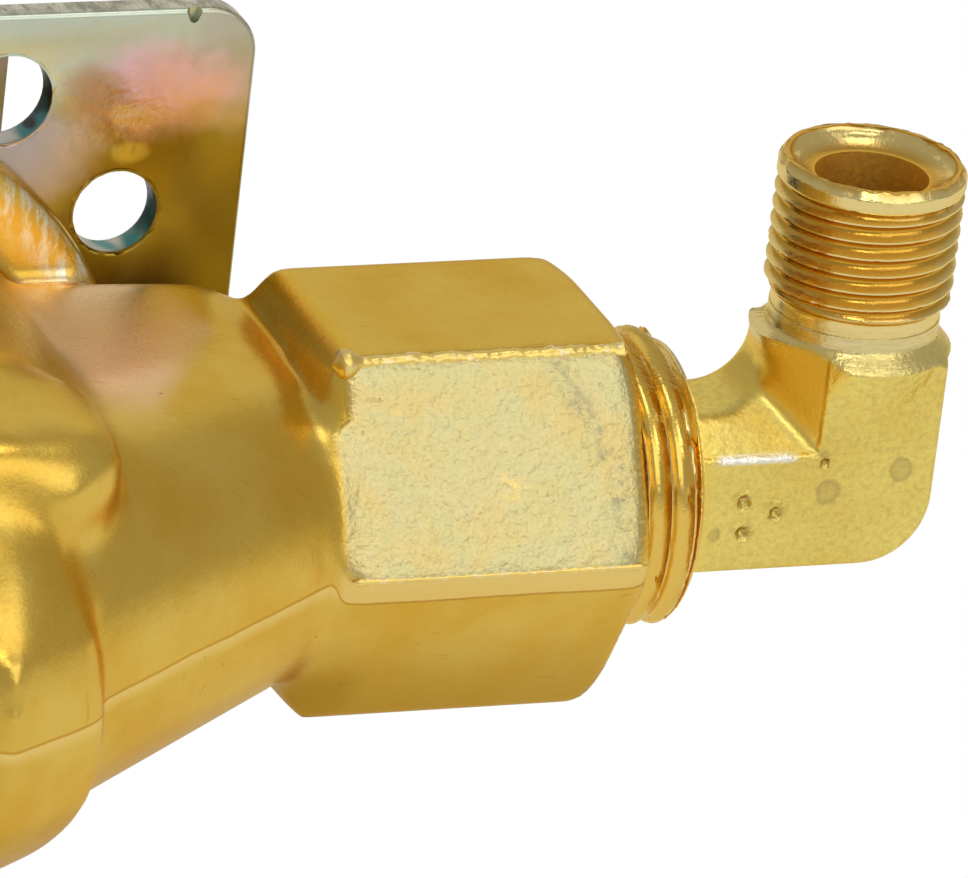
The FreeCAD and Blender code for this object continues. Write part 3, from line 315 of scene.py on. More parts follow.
@dataclass(frozen=True)
class PlainFinish:
    """Two clouded tones over a fine grain. Clouds and grain are scale, octaves and roughness."""

    name: str
    color: Color
    second: Color
    clouds: Triple
    share: tuple[float, float]
    grain: Triple
    rough: tuple[float, float]
    relief: tuple[float, float]
    stretch: Triple = (1, 1, 1)
    metallic: float = 1.0

    def material(self) -> bpy.types.Material:
        """Builds the material.

        Returns:
            The finished material.
        """
        nodes = Nodes(bpy.data.materials.new(self.name))
        grain = nodes.noise(*self.grain, stretch=self.stretch)
        tone = nodes.coats(self.color, (nodes.noise(*self.clouds).span(*self.share), self.second))
        rough = grain.span(0.3, 0.7, *self.rough)
        return nodes.shader(tone, rough, nodes.relief((grain, *self.relief)), self.metallic)


def steel(name: str, color: Color, rough: float, brushed: Triple = (1, 1, 1)) -> PlainFinish:
    """Plated, drawn or ground metal, brushed along the axis that is stretched least."""
    return PlainFinish(
        name, color, tuple(0.72 * value for value in color), (90.0, 3.0, 0.5), (0.35, 0.75),
        (900.0, 3.0, 0.6), (rough - 0.06, rough + 0.08), (0.00002, 0.5), brushed)


def moulded(name: str, color: Color, rough: float) -> PlainFinish:
    """Moulded plastic or rubber."""
    return PlainFinish(
        name, color, tuple(min(1.0, 1.25 * value + 0.01) for value in color), (60.0, 2.0, 0.5),
        (0.3, 0.7), (1800.0, 2.0, 0.5), (rough - 0.08, rough + 0.08), (0.00003, 0.7), metallic=0.0)


TURNED_BRASS = PlainFinish(
    "turned_brass", (0.80, 0.55, 0.18), (0.70, 0.42, 0.10), (140.0, 4.0, 0.6), (0.35, 0.68),
    (2600.0, 3.0, 0.65), (0.18, 0.32), (0.00002, 0.9))
BEAD_BRASS = PlainFinish(
    "bead_brass", (0.94, 0.70, 0.20), (1.0, 0.84, 0.46), (1300.0, 3.0, 0.6), (0.54, 0.70),
    (1300.0, 3.0, 0.6), (0.34, 0.44), (0.00005, 0.8))


@dataclass(frozen=True)
class ForgedBrass:
    """Blasted forged brass: satin skin, orange peel on the pressed flats and a parting line."""

    name: str = "forged_brass"
    color: Color = (0.81, 0.56, 0.11)
    deep: Color = (0.75, 0.45, 0.055)
    # Painted shade: dark orange-brown laid in folds and creases and along the parting line.
    fold_shade: Color = (0.62, 0.30, 0.02)
    worn: Color = (0.86, 0.64, 0.18)
    # Pale tint of the pressed flats: partly their blasted finish and partly a painted sheen of the
    # front lamp.
    pale: Color = (0.69, 0.59, 0.28)
    lime: Color = (0.60, 0.60, 0.30)
    # Painted reflection: the bracket's pink, laid on the neck's upward-facing top.
    rose: Color = (1.0, 0.74, 0.48)
    scrape: Color = (0.86, 0.80, 0.62)
    trim: Color = (0.92, 0.68, 0.22)
    # Painted shade: dark brown on faces that look down and low where the necks meet the hexagons.
    under: Color = (0.42, 0.22, 0.02)
    # Painted shade: the warm deep orange of the fillet at each hexagon's rolled root.
    rolled: Color = (0.88, 0.52, 0.04)
    soot: Color = (0.34, 0.30, 0.17)
    pit: Color = (0.36, 0.21, 0.05)
    rough: float = 0.30
    trim_width: float = 0.0013

    def material(self) -> bpy.types.Material:
        """Builds the material.

        Returns:
            The finished material.
        """
        nodes = Nodes(bpy.data.materials.new(self.name))
        peel, port_end, rose, scraped, fold_shade, edge, low, rolled, smear, smudge = nodes.marks(
            "peel", "port_end", "rose", "scraped", "fold_shade", "edge", "low", "rolled", "smear",
            "smudge")
        fine = nodes.noise(5600.0, 2.0, 0.6)
        blotch = nodes.noise(260.0, 4.0, 0.65).span(0.40, 0.64, 1.0, 0.72)
        broken = nodes.noise(1500.0, 4.0, 0.75).span(0.40, 0.62)
        green = nodes.noise(420.0, 3.0, 0.6).span(0.42, 0.62, 0.0, 0.35)
        speck = nodes.noise(2600.0, 2.0, 0.6).span(0.62, 0.74)
        streak = nodes.noise(700.0, 4.0, 0.7, (2.0, 0.6, 0.6)).span(0.42, 0.60)
        sparse = nodes.noise(200.0, 1.0, 0.5).span(0.60, 0.66)
        pits = nodes.cells(500.0).span(0.05, 0.09, 1.0, 0.0) * sparse
        scratch = nodes.noise(480.0, 2.0, 0.5, (1.0, 8.0, 0.5)).span(0.71, 0.73)
        height = nodes.along("Z") - nodes.noise(150.0) * 0.0004 + port_end * self.trim_width
        step = height.span(-0.00026, 0.00004)
        parting = step * (1.0 - step)
        above = step * height.span(self.trim_width, self.trim_width + 0.0003, 1.0, 0.0) * port_end
        below = height.span(-0.0012, -0.0002) * (1.0 - step) * (1.0 - port_end)
        tone = nodes.coats(
            self.color, (nodes.noise(120.0, 4.0, 0.6).span(0.32, 0.70), self.deep),
            # Painted reflection: the rose coat on the next line is the bracket's pink seen in the
            # neck's top.
            # Painted shade: the rolled coat on the next line is the warm orange of the hex root's
            # fillet.
            # The peel coat on the next line is partly the blasted finish and partly a painted
            # sheen.
            (rose * 0.95, self.rose), (rolled * 0.8, self.rolled), (peel * blotch, self.pale),
            (smear * broken * peel * 0.85, self.soot), (green * peel, self.lime),
            (smudge * peel * broken, self.trim), (speck * peel * 0.30, self.soot),
            # Painted shade: the creases darken on the next line.
            (scraped * streak, self.scrape), (fold_shade * 0.22, self.fold_shade), (edge * 0.4, self.worn),
            # Painted shade: the low coat on the next line darkens faces that look down.
            (low * 0.8, self.under), (pits * 0.35, self.pit), (scratch * 0.3, self.pit),
            # Painted shade: a dark line along the parting step on the next line.
            (above.larger(below) * 0.8, self.trim), (parting * 3.2, self.fold_shade))
        skin = nodes.relief(
            (fine, 0.00002, 0.5),
            (nodes.noise(3400.0, 3.0, 0.6) * (peel * 0.95 + 0.05), 0.00006, 0.8),
            (nodes.noise(1500.0, 2.0, 0.5) * (peel * 0.85 + 0.15), 0.00012, 0.7),
            (step, 0.00008, 0.7), (pits * -1.0, 0.00004, 0.8))
        rough = fine.span(0.3, 0.7, self.rough - 0.03, self.rough + 0.05) + peel * 0.06
        return nodes.shader(tone, rough, skin, glance=GLANCE)


@dataclass(frozen=True)
class ElbowBrass:
    """The elbow's brass: pale blasted block, turned shoulder and cut threads."""

    name: str = "elbow_brass"
    color: Color = (0.94, 0.76, 0.20)
    deep: Color = (0.87, 0.66, 0.15)
    # Painted shade: dark orange-brown down in the thread grooves and the mouth.
    groove: Color = (0.68, 0.37, 0.045)
    crest: Color = (0.88, 0.70, 0.28)
    turned: Color = (0.80, 0.68, 0.36)
    shade: Color = (0.98, 0.70, 0.14)
    # Painted highlight: a bright line along the arm's front top edge.
    silver: Color = (0.96, 0.93, 0.82)
    ring: Color = (0.86, 0.58, 0.12)
    stain: Color = (0.46, 0.34, 0.11)
    # Painted light: a warm orange on the bore's wall, standing for the light that reaches inside
    # it.
    bore: Color = (1.0, 0.66, 0.12)
    face: float = -0.0196
    stains: tuple[Triple, ...] = (
        (58.42, 0.37, 0.85), (62.91, 1.58, 0.8), (57.95, 2.8, 0.35), (51.6, -2.0, 0.5))

    def spot(self, nodes: Nodes, x: float, z: float, radius: float) -> Wire:
        """A round water stain on the block's front face.

        Args:
            nodes: The node tree.
            x: Its place along X in millimetres.
            z: Its height in millimetres.
            radius: Its radius in millimetres.

        Returns:
            Strength of the stain.
        """
        feeds = {0: nodes.place, 1: (x * MM, self.face, z * MM)}
        reach = nodes.out("ShaderNodeVectorMath", feeds, "Value", operation="DISTANCE")
        reach = reach + nodes.noise(1100.0, 4.0, 0.7) * 0.0007
        inside = reach.span((radius + 0.2) * MM, (radius + 0.42) * MM, 1.0, 0.0)
        return inside * reach.span((radius - 0.1) * MM, (radius + 0.25) * MM, 0.6, 1.0)

    def material(self) -> bpy.types.Material:
        """Builds the material.

        Returns:
            The finished material.
        """
        nodes = Nodes(bpy.data.materials.new(self.name))
        turned, threaded, deep, shade, sunk, silver, bore, sloped, worn = nodes.marks(
            "turned", "threaded", "deep", "shade", "sunk", "silver", "bore", "sloped", "worn")
        fine = nodes.noise(3600.0, 3.0, 0.6)
        machined = turned.larger(threaded)
        blasted = (1.0 - machined) * sloped.span(0.0, 1.0, 1.0, 0.12)
        rings = nodes.noise(520.0, 3.0, 0.7, (0.25, 0.25, 12.0))
        # On the taper the grooves take the lighter ring colour, so they get less painted shade.
        groove = nodes.coats(self.groove, (worn, self.ring))
        tone = nodes.coats(
            self.color, (nodes.noise(160.0, 4.0, 0.6).span(0.32, 0.72), self.deep),
            (nodes.noise(2600.0, 4.0, 0.75).span(0.40, 0.66, 0.0, 0.34), self.stain),
            (sunk * 0.7, self.stain),
            *((self.spot(nodes, *stain) * 0.62, self.stain) for stain in self.stains),
            (shade * 0.8, self.shade), (turned * 0.8, self.turned),
            # Painted shade: deeper points blend from the crest colour to the groove colour.
            (threaded, nodes.coats(self.crest, (deep, groove))),
            # Painted highlight along the arm's front top edge on the next line.
            # Painted light in the bore on the next line.
            (silver, self.silver), (bore, self.bore))
        skin = nodes.relief(
            (nodes.noise(1500.0, 3.0, 0.6) * blasted, 0.00017, 0.9), (fine, 0.00003, 0.6),
            (rings * turned, 0.00007, 0.8))
        rough = fine.span(0.3, 0.7, 0.30, 0.40) - machined * 0.12 + bore * 0.30
        return nodes.shader(tone, rough, skin, glance=GLANCE)


@dataclass(frozen=True)
class Patch:
    """One soft patch of film colour on the bracket, in millimetres."""

    x: float
    z: float
    width: float
    height: float
    color: Color
    share: float

    def mask(self, nodes: Nodes, across: Wire, up: Wire) -> Wire:
        """Where the patch lies, with a ragged edge.

        Args:
            nodes: The node tree.
            across: Place along X.
            up: Height.

        Returns:
            The mask.
        """
        total = nodes.noise(420.0, 3.0, 0.6).span(0.3, 0.7, -0.3, 0.3)
        for value, centre, size in ((across, self.x, self.width), (up, self.z, self.height)):
            offset = (value - centre * MM) * (1 / (size * MM))
            total = total + offset * offset
        return total.span(0.15, 1.9, self.share, 0.0)


@dataclass(frozen=True)
class Chromate:
    """Zinc plate under yellow chromate, whose thin film shifts from yellow to rose and green."""

    name: str = "yellow_chromate"
    base: Color = (0.36, 0.26, 0.035)
    cloudy: Color = (0.50, 0.42, 0.10)
    # Painted reflections: the black, teal and grey that the hole walls show.
    reflected_tones: tuple[Color, ...] = ((0.02, 0.02, 0.03), (0.05, 0.30, 0.30), (0.55, 0.52, 0.44))
    torn: tuple[Color, ...] = ((0.24, 0.20, 0.10), (0.78, 0.74, 0.56))
    wrinkled: Patch = Patch(17.8, 18.4, 3.8, 2.6, (0, 0, 0), 1.0)
    patches: tuple[Patch, ...] = (
        Patch(13.5, 22.5, 8.0, 4.4, (0.64, 0.74, 0.64), 0.95),
        Patch(20.5, 24.2, 8.0, 2.2, (0.62, 0.68, 0.54), 0.95),
        Patch(26.2, 21.4, 2.4, 5.0, (0.56, 0.52, 0.40), 0.85),
        Patch(21.4, 19.8, 4.4, 3.2, (0.86, 0.56, 0.60), 1.0),
        Patch(17.4, 18.9, 2.2, 2.4, (0.50, 0.30, 0.14), 0.85),
        Patch(14.0, 15.6, 3.4, 2.4, (0.53, 0.47, 0.46), 0.95),
        Patch(20.0, 17.9, 1.8, 0.9, (0.84, 0.62, 0.34), 0.8),
        Patch(19.4, 15.3, 1.1, 0.6, (0.80, 0.70, 0.22), 0.7),
        Patch(24.6, 17.6, 2.0, 1.2, (0.60, 0.44, 0.18), 0.6))

    def material(self) -> bpy.types.Material:
        """Builds the material.

        Returns:
            The finished material.
        """
        nodes = Nodes(bpy.data.materials.new(self.name))
        wall, sheared = nodes.marks("wall", "sheared")
        drift = nodes.noise(90.0, 3.0, 0.5).span(0.3, 0.7, -0.0008, 0.0008)
        place = [abs(nodes.along(axis)) + drift for axis in "XZ"]
        # Painted reflections on the hole walls: black, teal and grey mixed by this noise.
        film = nodes.noise(330.0, 2.0, 0.5, (1.0, 0.4, 1.0))
        wall_reflection = nodes.coats(
            self.reflected_tones[0], (film.span(0.42, 0.50), self.reflected_tones[1]),
            (film.span(0.52, 0.60), self.reflected_tones[2]))
        torn = nodes.noise(900.0, 4.0, 0.7, (1.0, 0.35, 1.0)).span(0.36, 0.64)
        tone = nodes.coats(
            self.base, (nodes.noise(70.0, 3.0, 0.5).span(0.40, 0.66), self.cloudy),
            *((patch.mask(nodes, *place), patch.color) for patch in self.patches),
            (wall * 0.9, wall_reflection), (sheared * 0.8, nodes.coats(self.torn[0], (torn, self.torn[1]))))
        wrinkle = nodes.noise(1700.0, 2.0, 0.5)
        skin = nodes.relief(
            (wrinkle * (self.wrinkled.mask(nodes, *place) + 0.03), 0.00007, 0.8),
            (nodes.noise(140.0, 2.0, 0.5), 0.0002, 0.2))
        return nodes.shader(tone, wrinkle.span(0.3, 0.7, 0.30, 0.36), skin)


@dataclass(frozen=True)
class Winding:
    """Enamelled copper wire, wound in layers along the solenoid axis."""

    name: str = "copper_winding"
    wire: float = 0.00025
    color: Color = (0.62, 0.24, 0.10)
    bright: Color = (0.72, 0.33, 0.16)

    def material(self) -> bpy.types.Material:
        """Builds the material.

        Returns:
            The finished material.
        """
        nodes = Nodes(bpy.data.materials.new(self.name))
        ridge = nodes.maths("SINE", nodes.along("Y") * (math.tau / self.wire))
        tone = nodes.coats(self.color, (nodes.noise(120.0).span(0.3, 0.7), self.bright))
        return nodes.shader(tone, 0.35, nodes.relief((ridge, self.wire / 4, 0.8)))


def ramp(value: float, low: float, high: float) -> float:
    """Rises smoothly from 0 at low to 1 at high."""
    share = min(max((value - low) / (high - low), 0.0), 1.0)
    return share * share * (3 - 2 * share)


def band(value: float, low: float, full: float, over: float, gone: float) -> float:
    """Rises smoothly from 0 at low to 1 at full, and falls again from over to gone."""
    return ramp(value, low, full) * (1 - ramp(value, over, gone))


def add_object(name: str, data: bpy.types.ID) -> bpy.types.Object:
    """Adds an object to the scene.

    Args:
        name: Its name.
        data: Its mesh, camera or lamp.

    Returns:
        The new object.
    """
    obj = bpy.data.objects.new(name, data)
    bpy.context.scene.collection.objects.link(obj)
    return obj


class Solid:
    """A bmesh in millimetres with the steps that the pieces share."""

    def __init__(self) -> None:
        """Starts with no geometry."""
        self.bm = bmesh.new()

    @classmethod
    def from_node(cls, node: str) -> "Solid":
        """Copies a CAD node's mesh and merges its loose triangles.

        Args:
            node: The CAD node's name.

        Returns:
            The merged copy.
        """
        solid = cls()
        source = frame["nodes"][node]
        solid.bm.from_mesh(source.data)
        bmesh.ops.transform(solid.bm, matrix=source.matrix_world, verts=solid.bm.verts)
        bmesh.ops.scale(solid.bm, vec=(1 / MM,) * 3, verts=solid.bm.verts)
        return solid.merge()

    @classmethod
    def turned(cls, axis: Axis, profile: Profile, steps: int) -> "Solid":
        """Turns a closed profile about an axis.

        Args:
            axis: The axis.
            profile: Corners as (radius, station).
            steps: Number of sides.

        Returns:
            The turned solid.
        """
        solid = cls()
        corners = [solid.bm.verts.new(axis.point(*corner)) for corner in profile]
        edges = [
            solid.bm.edges.new((start, end))
            for start, end in zip(corners, corners[1:] + corners[:1])]
        bmesh.ops.spin(
            solid.bm, geom=corners + edges, cent=axis.centre, axis=axis.direction,
            angle=math.tau, steps=steps, use_merge=True)
        return solid.merge().outward()

    def merge(self, reach: float = MERGE) -> "Solid":
        """Merges points that lie closer together than the reach."""
        bmesh.ops.remove_doubles(self.bm, verts=self.bm.verts, dist=reach)
        return self

    def outward(self) -> "Solid":
        """Points every face outwards."""
        bmesh.ops.recalc_face_normals(self.bm, faces=self.bm.faces)
        return self

    def slice(self, place: Triple, outward: Triple) -> "Solid":
        """Cuts the solid off at a plane and closes it.

        Args:
            place: A point of the plane in millimetres.
            outward: The side that goes away.

        Returns:
            This solid.
        """
        geometry = self.bm.verts[:] + self.bm.edges[:] + self.bm.faces[:]
        cut = bmesh.ops.bisect_plane(
            self.bm, geom=geometry, dist=0.0001, plane_co=place, plane_no=outward, clear_outer=True)
        rim = [item for item in cut["geom_cut"] if isinstance(item, bmesh.types.BMEdge)]
        caps = bmesh.ops.holes_fill(self.bm, edges=[edge for edge in rim if edge.is_boundary])
        bmesh.ops.triangulate(self.bm, faces=caps["faces"])
        return self.outward()

    def reshaped(self, kind: str, other: "Solid | None" = None, **settings: object) -> "Solid":
        """Runs one of Blender's modifiers over the solid and keeps its result.

        Args:
            kind: Blender's name of the modifier.
            other: A second solid that the modifier works with.
            settings: Settings of the modifier.

        Returns:
            This solid, reshaped.
        """
        holders = []
        for solid in (self, other) if other else (self,):
            mesh = bpy.data.meshes.new("holder")
            solid.bm.to_mesh(mesh)
            holders.append(add_object("holder", mesh))
        modifier = holders[0].modifiers.new("step", kind)
        for key, value in settings.items():
            setattr(modifier, key, value)
        if other:
            modifier.object = holders[1]
            other.bm.free()
        graph = bpy.context.evaluated_depsgraph_get()
        result = bpy.data.meshes.new_from_object(holders[0].evaluated_get(graph))
        self.bm.clear()
        self.bm.from_mesh(result)
        bpy.data.meshes.remove(result)
        for holder in holders:
            bpy.data.meshes.remove(holder.data)
        return self

    def combine(self, other: "Solid", join: Join) -> "Solid":
        """Joins another solid to this one or cuts it out, and uses it up."""
        return self.reshaped("BOOLEAN", other, operation=join.value, solver="EXACT").merge()

    def soften(self, wanted: Callable[[Vector], bool], rounds: int) -> "Solid":
        """Rolls the edges in a region.

        Args:
            wanted: Test of a point in millimetres.
            rounds: Number of smoothing steps.

        Returns:
            This solid.
        """
        region = [vert for vert in self.bm.verts if wanted(vert.co)]
        for _ in range(rounds):
            bmesh.ops.smooth_vert(
                self.bm, verts=region, factor=0.5, use_axis_x=True, use_axis_y=True,
                use_axis_z=True)
        return self

    def bevel(self, degrees: float, width: float, segments: int) -> "Solid":
        """Rounds the edges that turn by more than an angle.

        Args:
            degrees: The angle.
            width: Width of the rounding in millimetres.
            segments: Number of steps across it.

        Returns:
            This solid.
        """
        limit = math.radians(degrees)
        edges = [
            edge for edge in self.bm.edges
            if edge.is_manifold and edge.calc_face_angle(0.0) > limit]
        if edges:
            bmesh.ops.bevel(
                self.bm, geom=edges, offset=width, offset_type="OFFSET", segments=segments,
                profile=0.5, affect="EDGES", clamp_overlap=True, material=-1)
        return self

    def paint(self, weigh: Weigh) -> "Solid":
        """Paints marks for the finish to read.

        Args:
            weigh: Gives each mark at a point and its normal.

        Returns:
            This solid.
        """
        self.bm.normal_update()
        layers = self.bm.verts.layers.float
        names = list(weigh(Vector(), Vector((0, 0, 1))))
        for name in names:
            layers.new(name)
        marks = {name: layers[name] for name in names}
        for vert in self.bm.verts:
            for name, value in weigh(vert.co, vert.normal).items():
                vert[marks[name]] = value
        return self

    def paint_relief(self, reach: float) -> "Solid":
        """Marks the folds, which the finish darkens as painted shade, and the proud edges of a
        finely meshed skin.

        Args:
            reach: Hollow in millimetres between neighbours that counts as a full fold.

        Returns:
            This solid, with the marks "fold" and "edge".
        """
        self.bm.normal_update()
        fold_shade = self.bm.verts.layers.float.new("fold_shade")
        edge = self.bm.verts.layers.float.new("edge")
        values = {}
        for vert in self.bm.verts:
            around = [link.other_vert(vert).co - vert.co for link in vert.link_edges]
            values[vert] = sum((step.dot(vert.normal) for step in around), 0.0) / len(around)
        for _ in range(3):
            values = {
                vert: sum(values[link.other_vert(vert)] for link in vert.link_edges)
                / len(vert.link_edges) for vert in self.bm.verts}
        for vert, hollow in values.items():
            vert[fold_shade] = ramp(hollow, reach * 0.15, reach)
            vert[edge] = ramp(-hollow, reach * 0.5, reach * 1.6)
        return self

    def mesh(self, name: str, smooth_angle: float) -> bpy.types.Mesh:
        """Hands the solid over as a mesh in metres.

        Args:
            name: Name of the mesh.
            smooth_angle: Angle in degrees up to which edges are shaded smooth.

        Returns:
            The mesh.
        """
        bmesh.ops.scale(self.bm, vec=(MM,) * 3, verts=self.bm.verts)
        limit = math.radians(smooth_angle)
        for face in self.bm.faces:
            face.smooth = True
        for edge in self.bm.edges:
            edge.smooth = edge.is_manifold and edge.calc_face_angle(0.0) < limit
        mesh = bpy.data.meshes.new(name)
        self.bm.to_mesh(mesh)
        self.bm.free()
        return mesh


@dataclass(frozen=True)
class Piece:
    """One finished object that rides on a CAD body."""

    name: str
    slot: str
    stands_for: tuple[str, ...] = ()
    body: str = "valve"

    def finish(self, solid: Solid, material: bpy.types.Material,
               smooth_angle: float = 40.0) -> bpy.types.Object:
        """Turns a solid into a piece of the object.

        Args:
            solid: The piece's solid, in place, which is used up.
            material: Its finish.
            smooth_angle: Angle in degrees up to which edges are shaded smooth.

        Returns:
            The new object.
        """
        mesh = solid.mesh(self.name, smooth_angle)
        mesh.materials.clear()
        mesh.materials.append(material)
        obj = add_object(self.name, mesh)
        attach(obj, self.body)
        if self.stands_for:
            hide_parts(*self.stands_for)
        log.info("%s: %d faces", self.name, len(mesh.polygons))
        return obj


@dataclass(frozen=True)
class Thread:
    """A right-handed screw thread, cut on a round or a taper."""

    axis: Axis
    pitch: float
    depth: float
    start: float
    end: float
    radius: Callable[[float], float]
    fade: Callable[[float], float] = lambda along: 1.0
    crest: float = 0.10
    points: int = 10
    steps: int = 120

    def groove(self, phase: float) -> float:
        """Shape of the groove between two crests.

        Args:
            phase: Place between two crests, from 0 to 1.

        Returns:
            Depth as a share of the full depth.
        """
        if phase <= self.crest:
            return 0.0
        return math.sin(math.pi * (phase - self.crest) / (1 - self.crest)) ** 0.75

    def solid(self) -> Solid:
        """Winds the profile up the axis and closes both ends.

        Returns:
            The threaded round.
        """
        solid = Solid()
        pitches = math.ceil((self.end - self.start) / self.pitch) + 2
        first = self.start - self.pitch
        phases = [index / self.points for index in range(self.points)]
        corners = []
        for turn in range(pitches):
            for phase in phases + ([1.0] if turn == pitches - 1 else []):
                corners.append(solid.bm.verts.new(
                    self.axis.point(10 - self.groove(phase), first + (turn + phase) * self.pitch)))
        edges = [solid.bm.edges.new(pair) for pair in zip(corners, corners[1:])]
        bmesh.ops.spin(
            solid.bm, geom=corners + edges, cent=self.axis.centre, axis=self.axis.direction,
            dvec=self.axis.direction * (self.pitch / self.steps), angle=math.tau, steps=self.steps,
            use_merge=False)
        solid.merge(0.002)
        for station, side in ((self.start, -1), (self.end, 1)):
            solid.slice(self.axis.point(0, station), self.axis.direction * side)
        for vert in solid.bm.verts:
            along, radius, outward = self.axis.split(vert.co)
            deep = (10 - radius) * self.depth * self.fade(along)
            vert.co += outward * (self.radius(along) - deep - radius)
        return solid.outward()


@dataclass
class HiddenWorks:
    """The pieces that stay as the CAD made them, with rolled edges and their own finishes."""

    finishes: tuple[tuple[str, PlainFinish | Winding], ...] = (
        ("brass", TURNED_BRASS),
        ("winding", Winding()),
        ("plated", steel("zinc_plate", (0.66, 0.67, 0.69), 0.30)),
        ("drawn", steel("drawn_steel", (0.62, 0.61, 0.60), 0.28, (1, 12, 1))),
        ("ground", steel("magnetic_steel", (0.52, 0.52, 0.53), 0.32, (12, 1, 12))),
        ("wire", steel("spring_wire", (0.50, 0.50, 0.52), 0.25)),
        ("tinned", steel("tinned_brass", (0.70, 0.68, 0.60), 0.30)),
        ("copper", steel("bare_copper", (0.72, 0.34, 0.18), 0.30)),
        ("rubber", moulded("black_rubber", (0.020, 0.020, 0.021), 0.62)),
        ("black", moulded("black_plastic", (0.026, 0.026, 0.028), 0.42)),
        ("white", moulded("white_plastic", (0.80, 0.78, 0.72), 0.40)))
    edges: tuple[tuple[str, str, float], ...] = (
        ("bonnet", "brass", 0.25), ("bonnet_o_ring", "rubber", 0.0), ("diaphragm", "rubber", 0.1),
        ("diaphragm_spring", "wire", 0.0), ("diaphragm_insert", "white", 0.1),
        ("guide_tube", "drawn", 0.1), ("plunger", "ground", 0.1), ("plunger_seal", "rubber", 0.1),
        ("plunger_spring", "wire", 0.0), ("core_stop", "ground", 0.15),
        ("shading_ring", "copper", 0.08), ("coil_gasket", "rubber", 0.2), ("yoke", "plated", 0.25),
        ("coil_case", "black", 0.4), ("coil_bobbin", "white", 0.15),
        ("coil_winding", "winding", 0.3), ("terminal_left", "tinned", 0.08),
        ("terminal_right", "tinned", 0.08), ("coil_washer", "plated", 0.12),
        ("coil_nut", "plated", 0.2), ("inlet_strainer", "drawn", 0.1),
        ("strainer_ring", "drawn", 0.1), ("flow_washer", "rubber", 0.15))
    riders: tuple[tuple[str, str], ...] = (
        ("plunger", "armature"), ("plunger_seal", "armature"), ("diaphragm_insert", "insert"))
    springs: tuple[tuple[str, str, float, float], ...] = (
        ("plunger_spring", "plunger_slide", 0.0265, 0.80),
        ("diaphragm_spring", "insert_lift", -0.0035, 0.61))

    def build(self) -> None:
        """Dresses every hidden piece and gives each spring a mesh of its own."""
        materials = {key: finish.material() for key, finish in self.finishes}
        slots = {part["node"]: part["material_slot"] for part in frame["record"]["subparts"]}
        dressed = {}
        for node, key, width in self.edges:
            solid = Solid.from_node(node)
            if width:
                solid.bevel(35, width, 2)
            body = dict(self.riders).get(node, "valve")
            piece = Piece(node + "_dressed", slots[node], (node,), body)
            dressed[node] = piece.finish(solid, materials[key])
        for node, joint, held, share in self.springs:
            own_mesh(dressed[node])


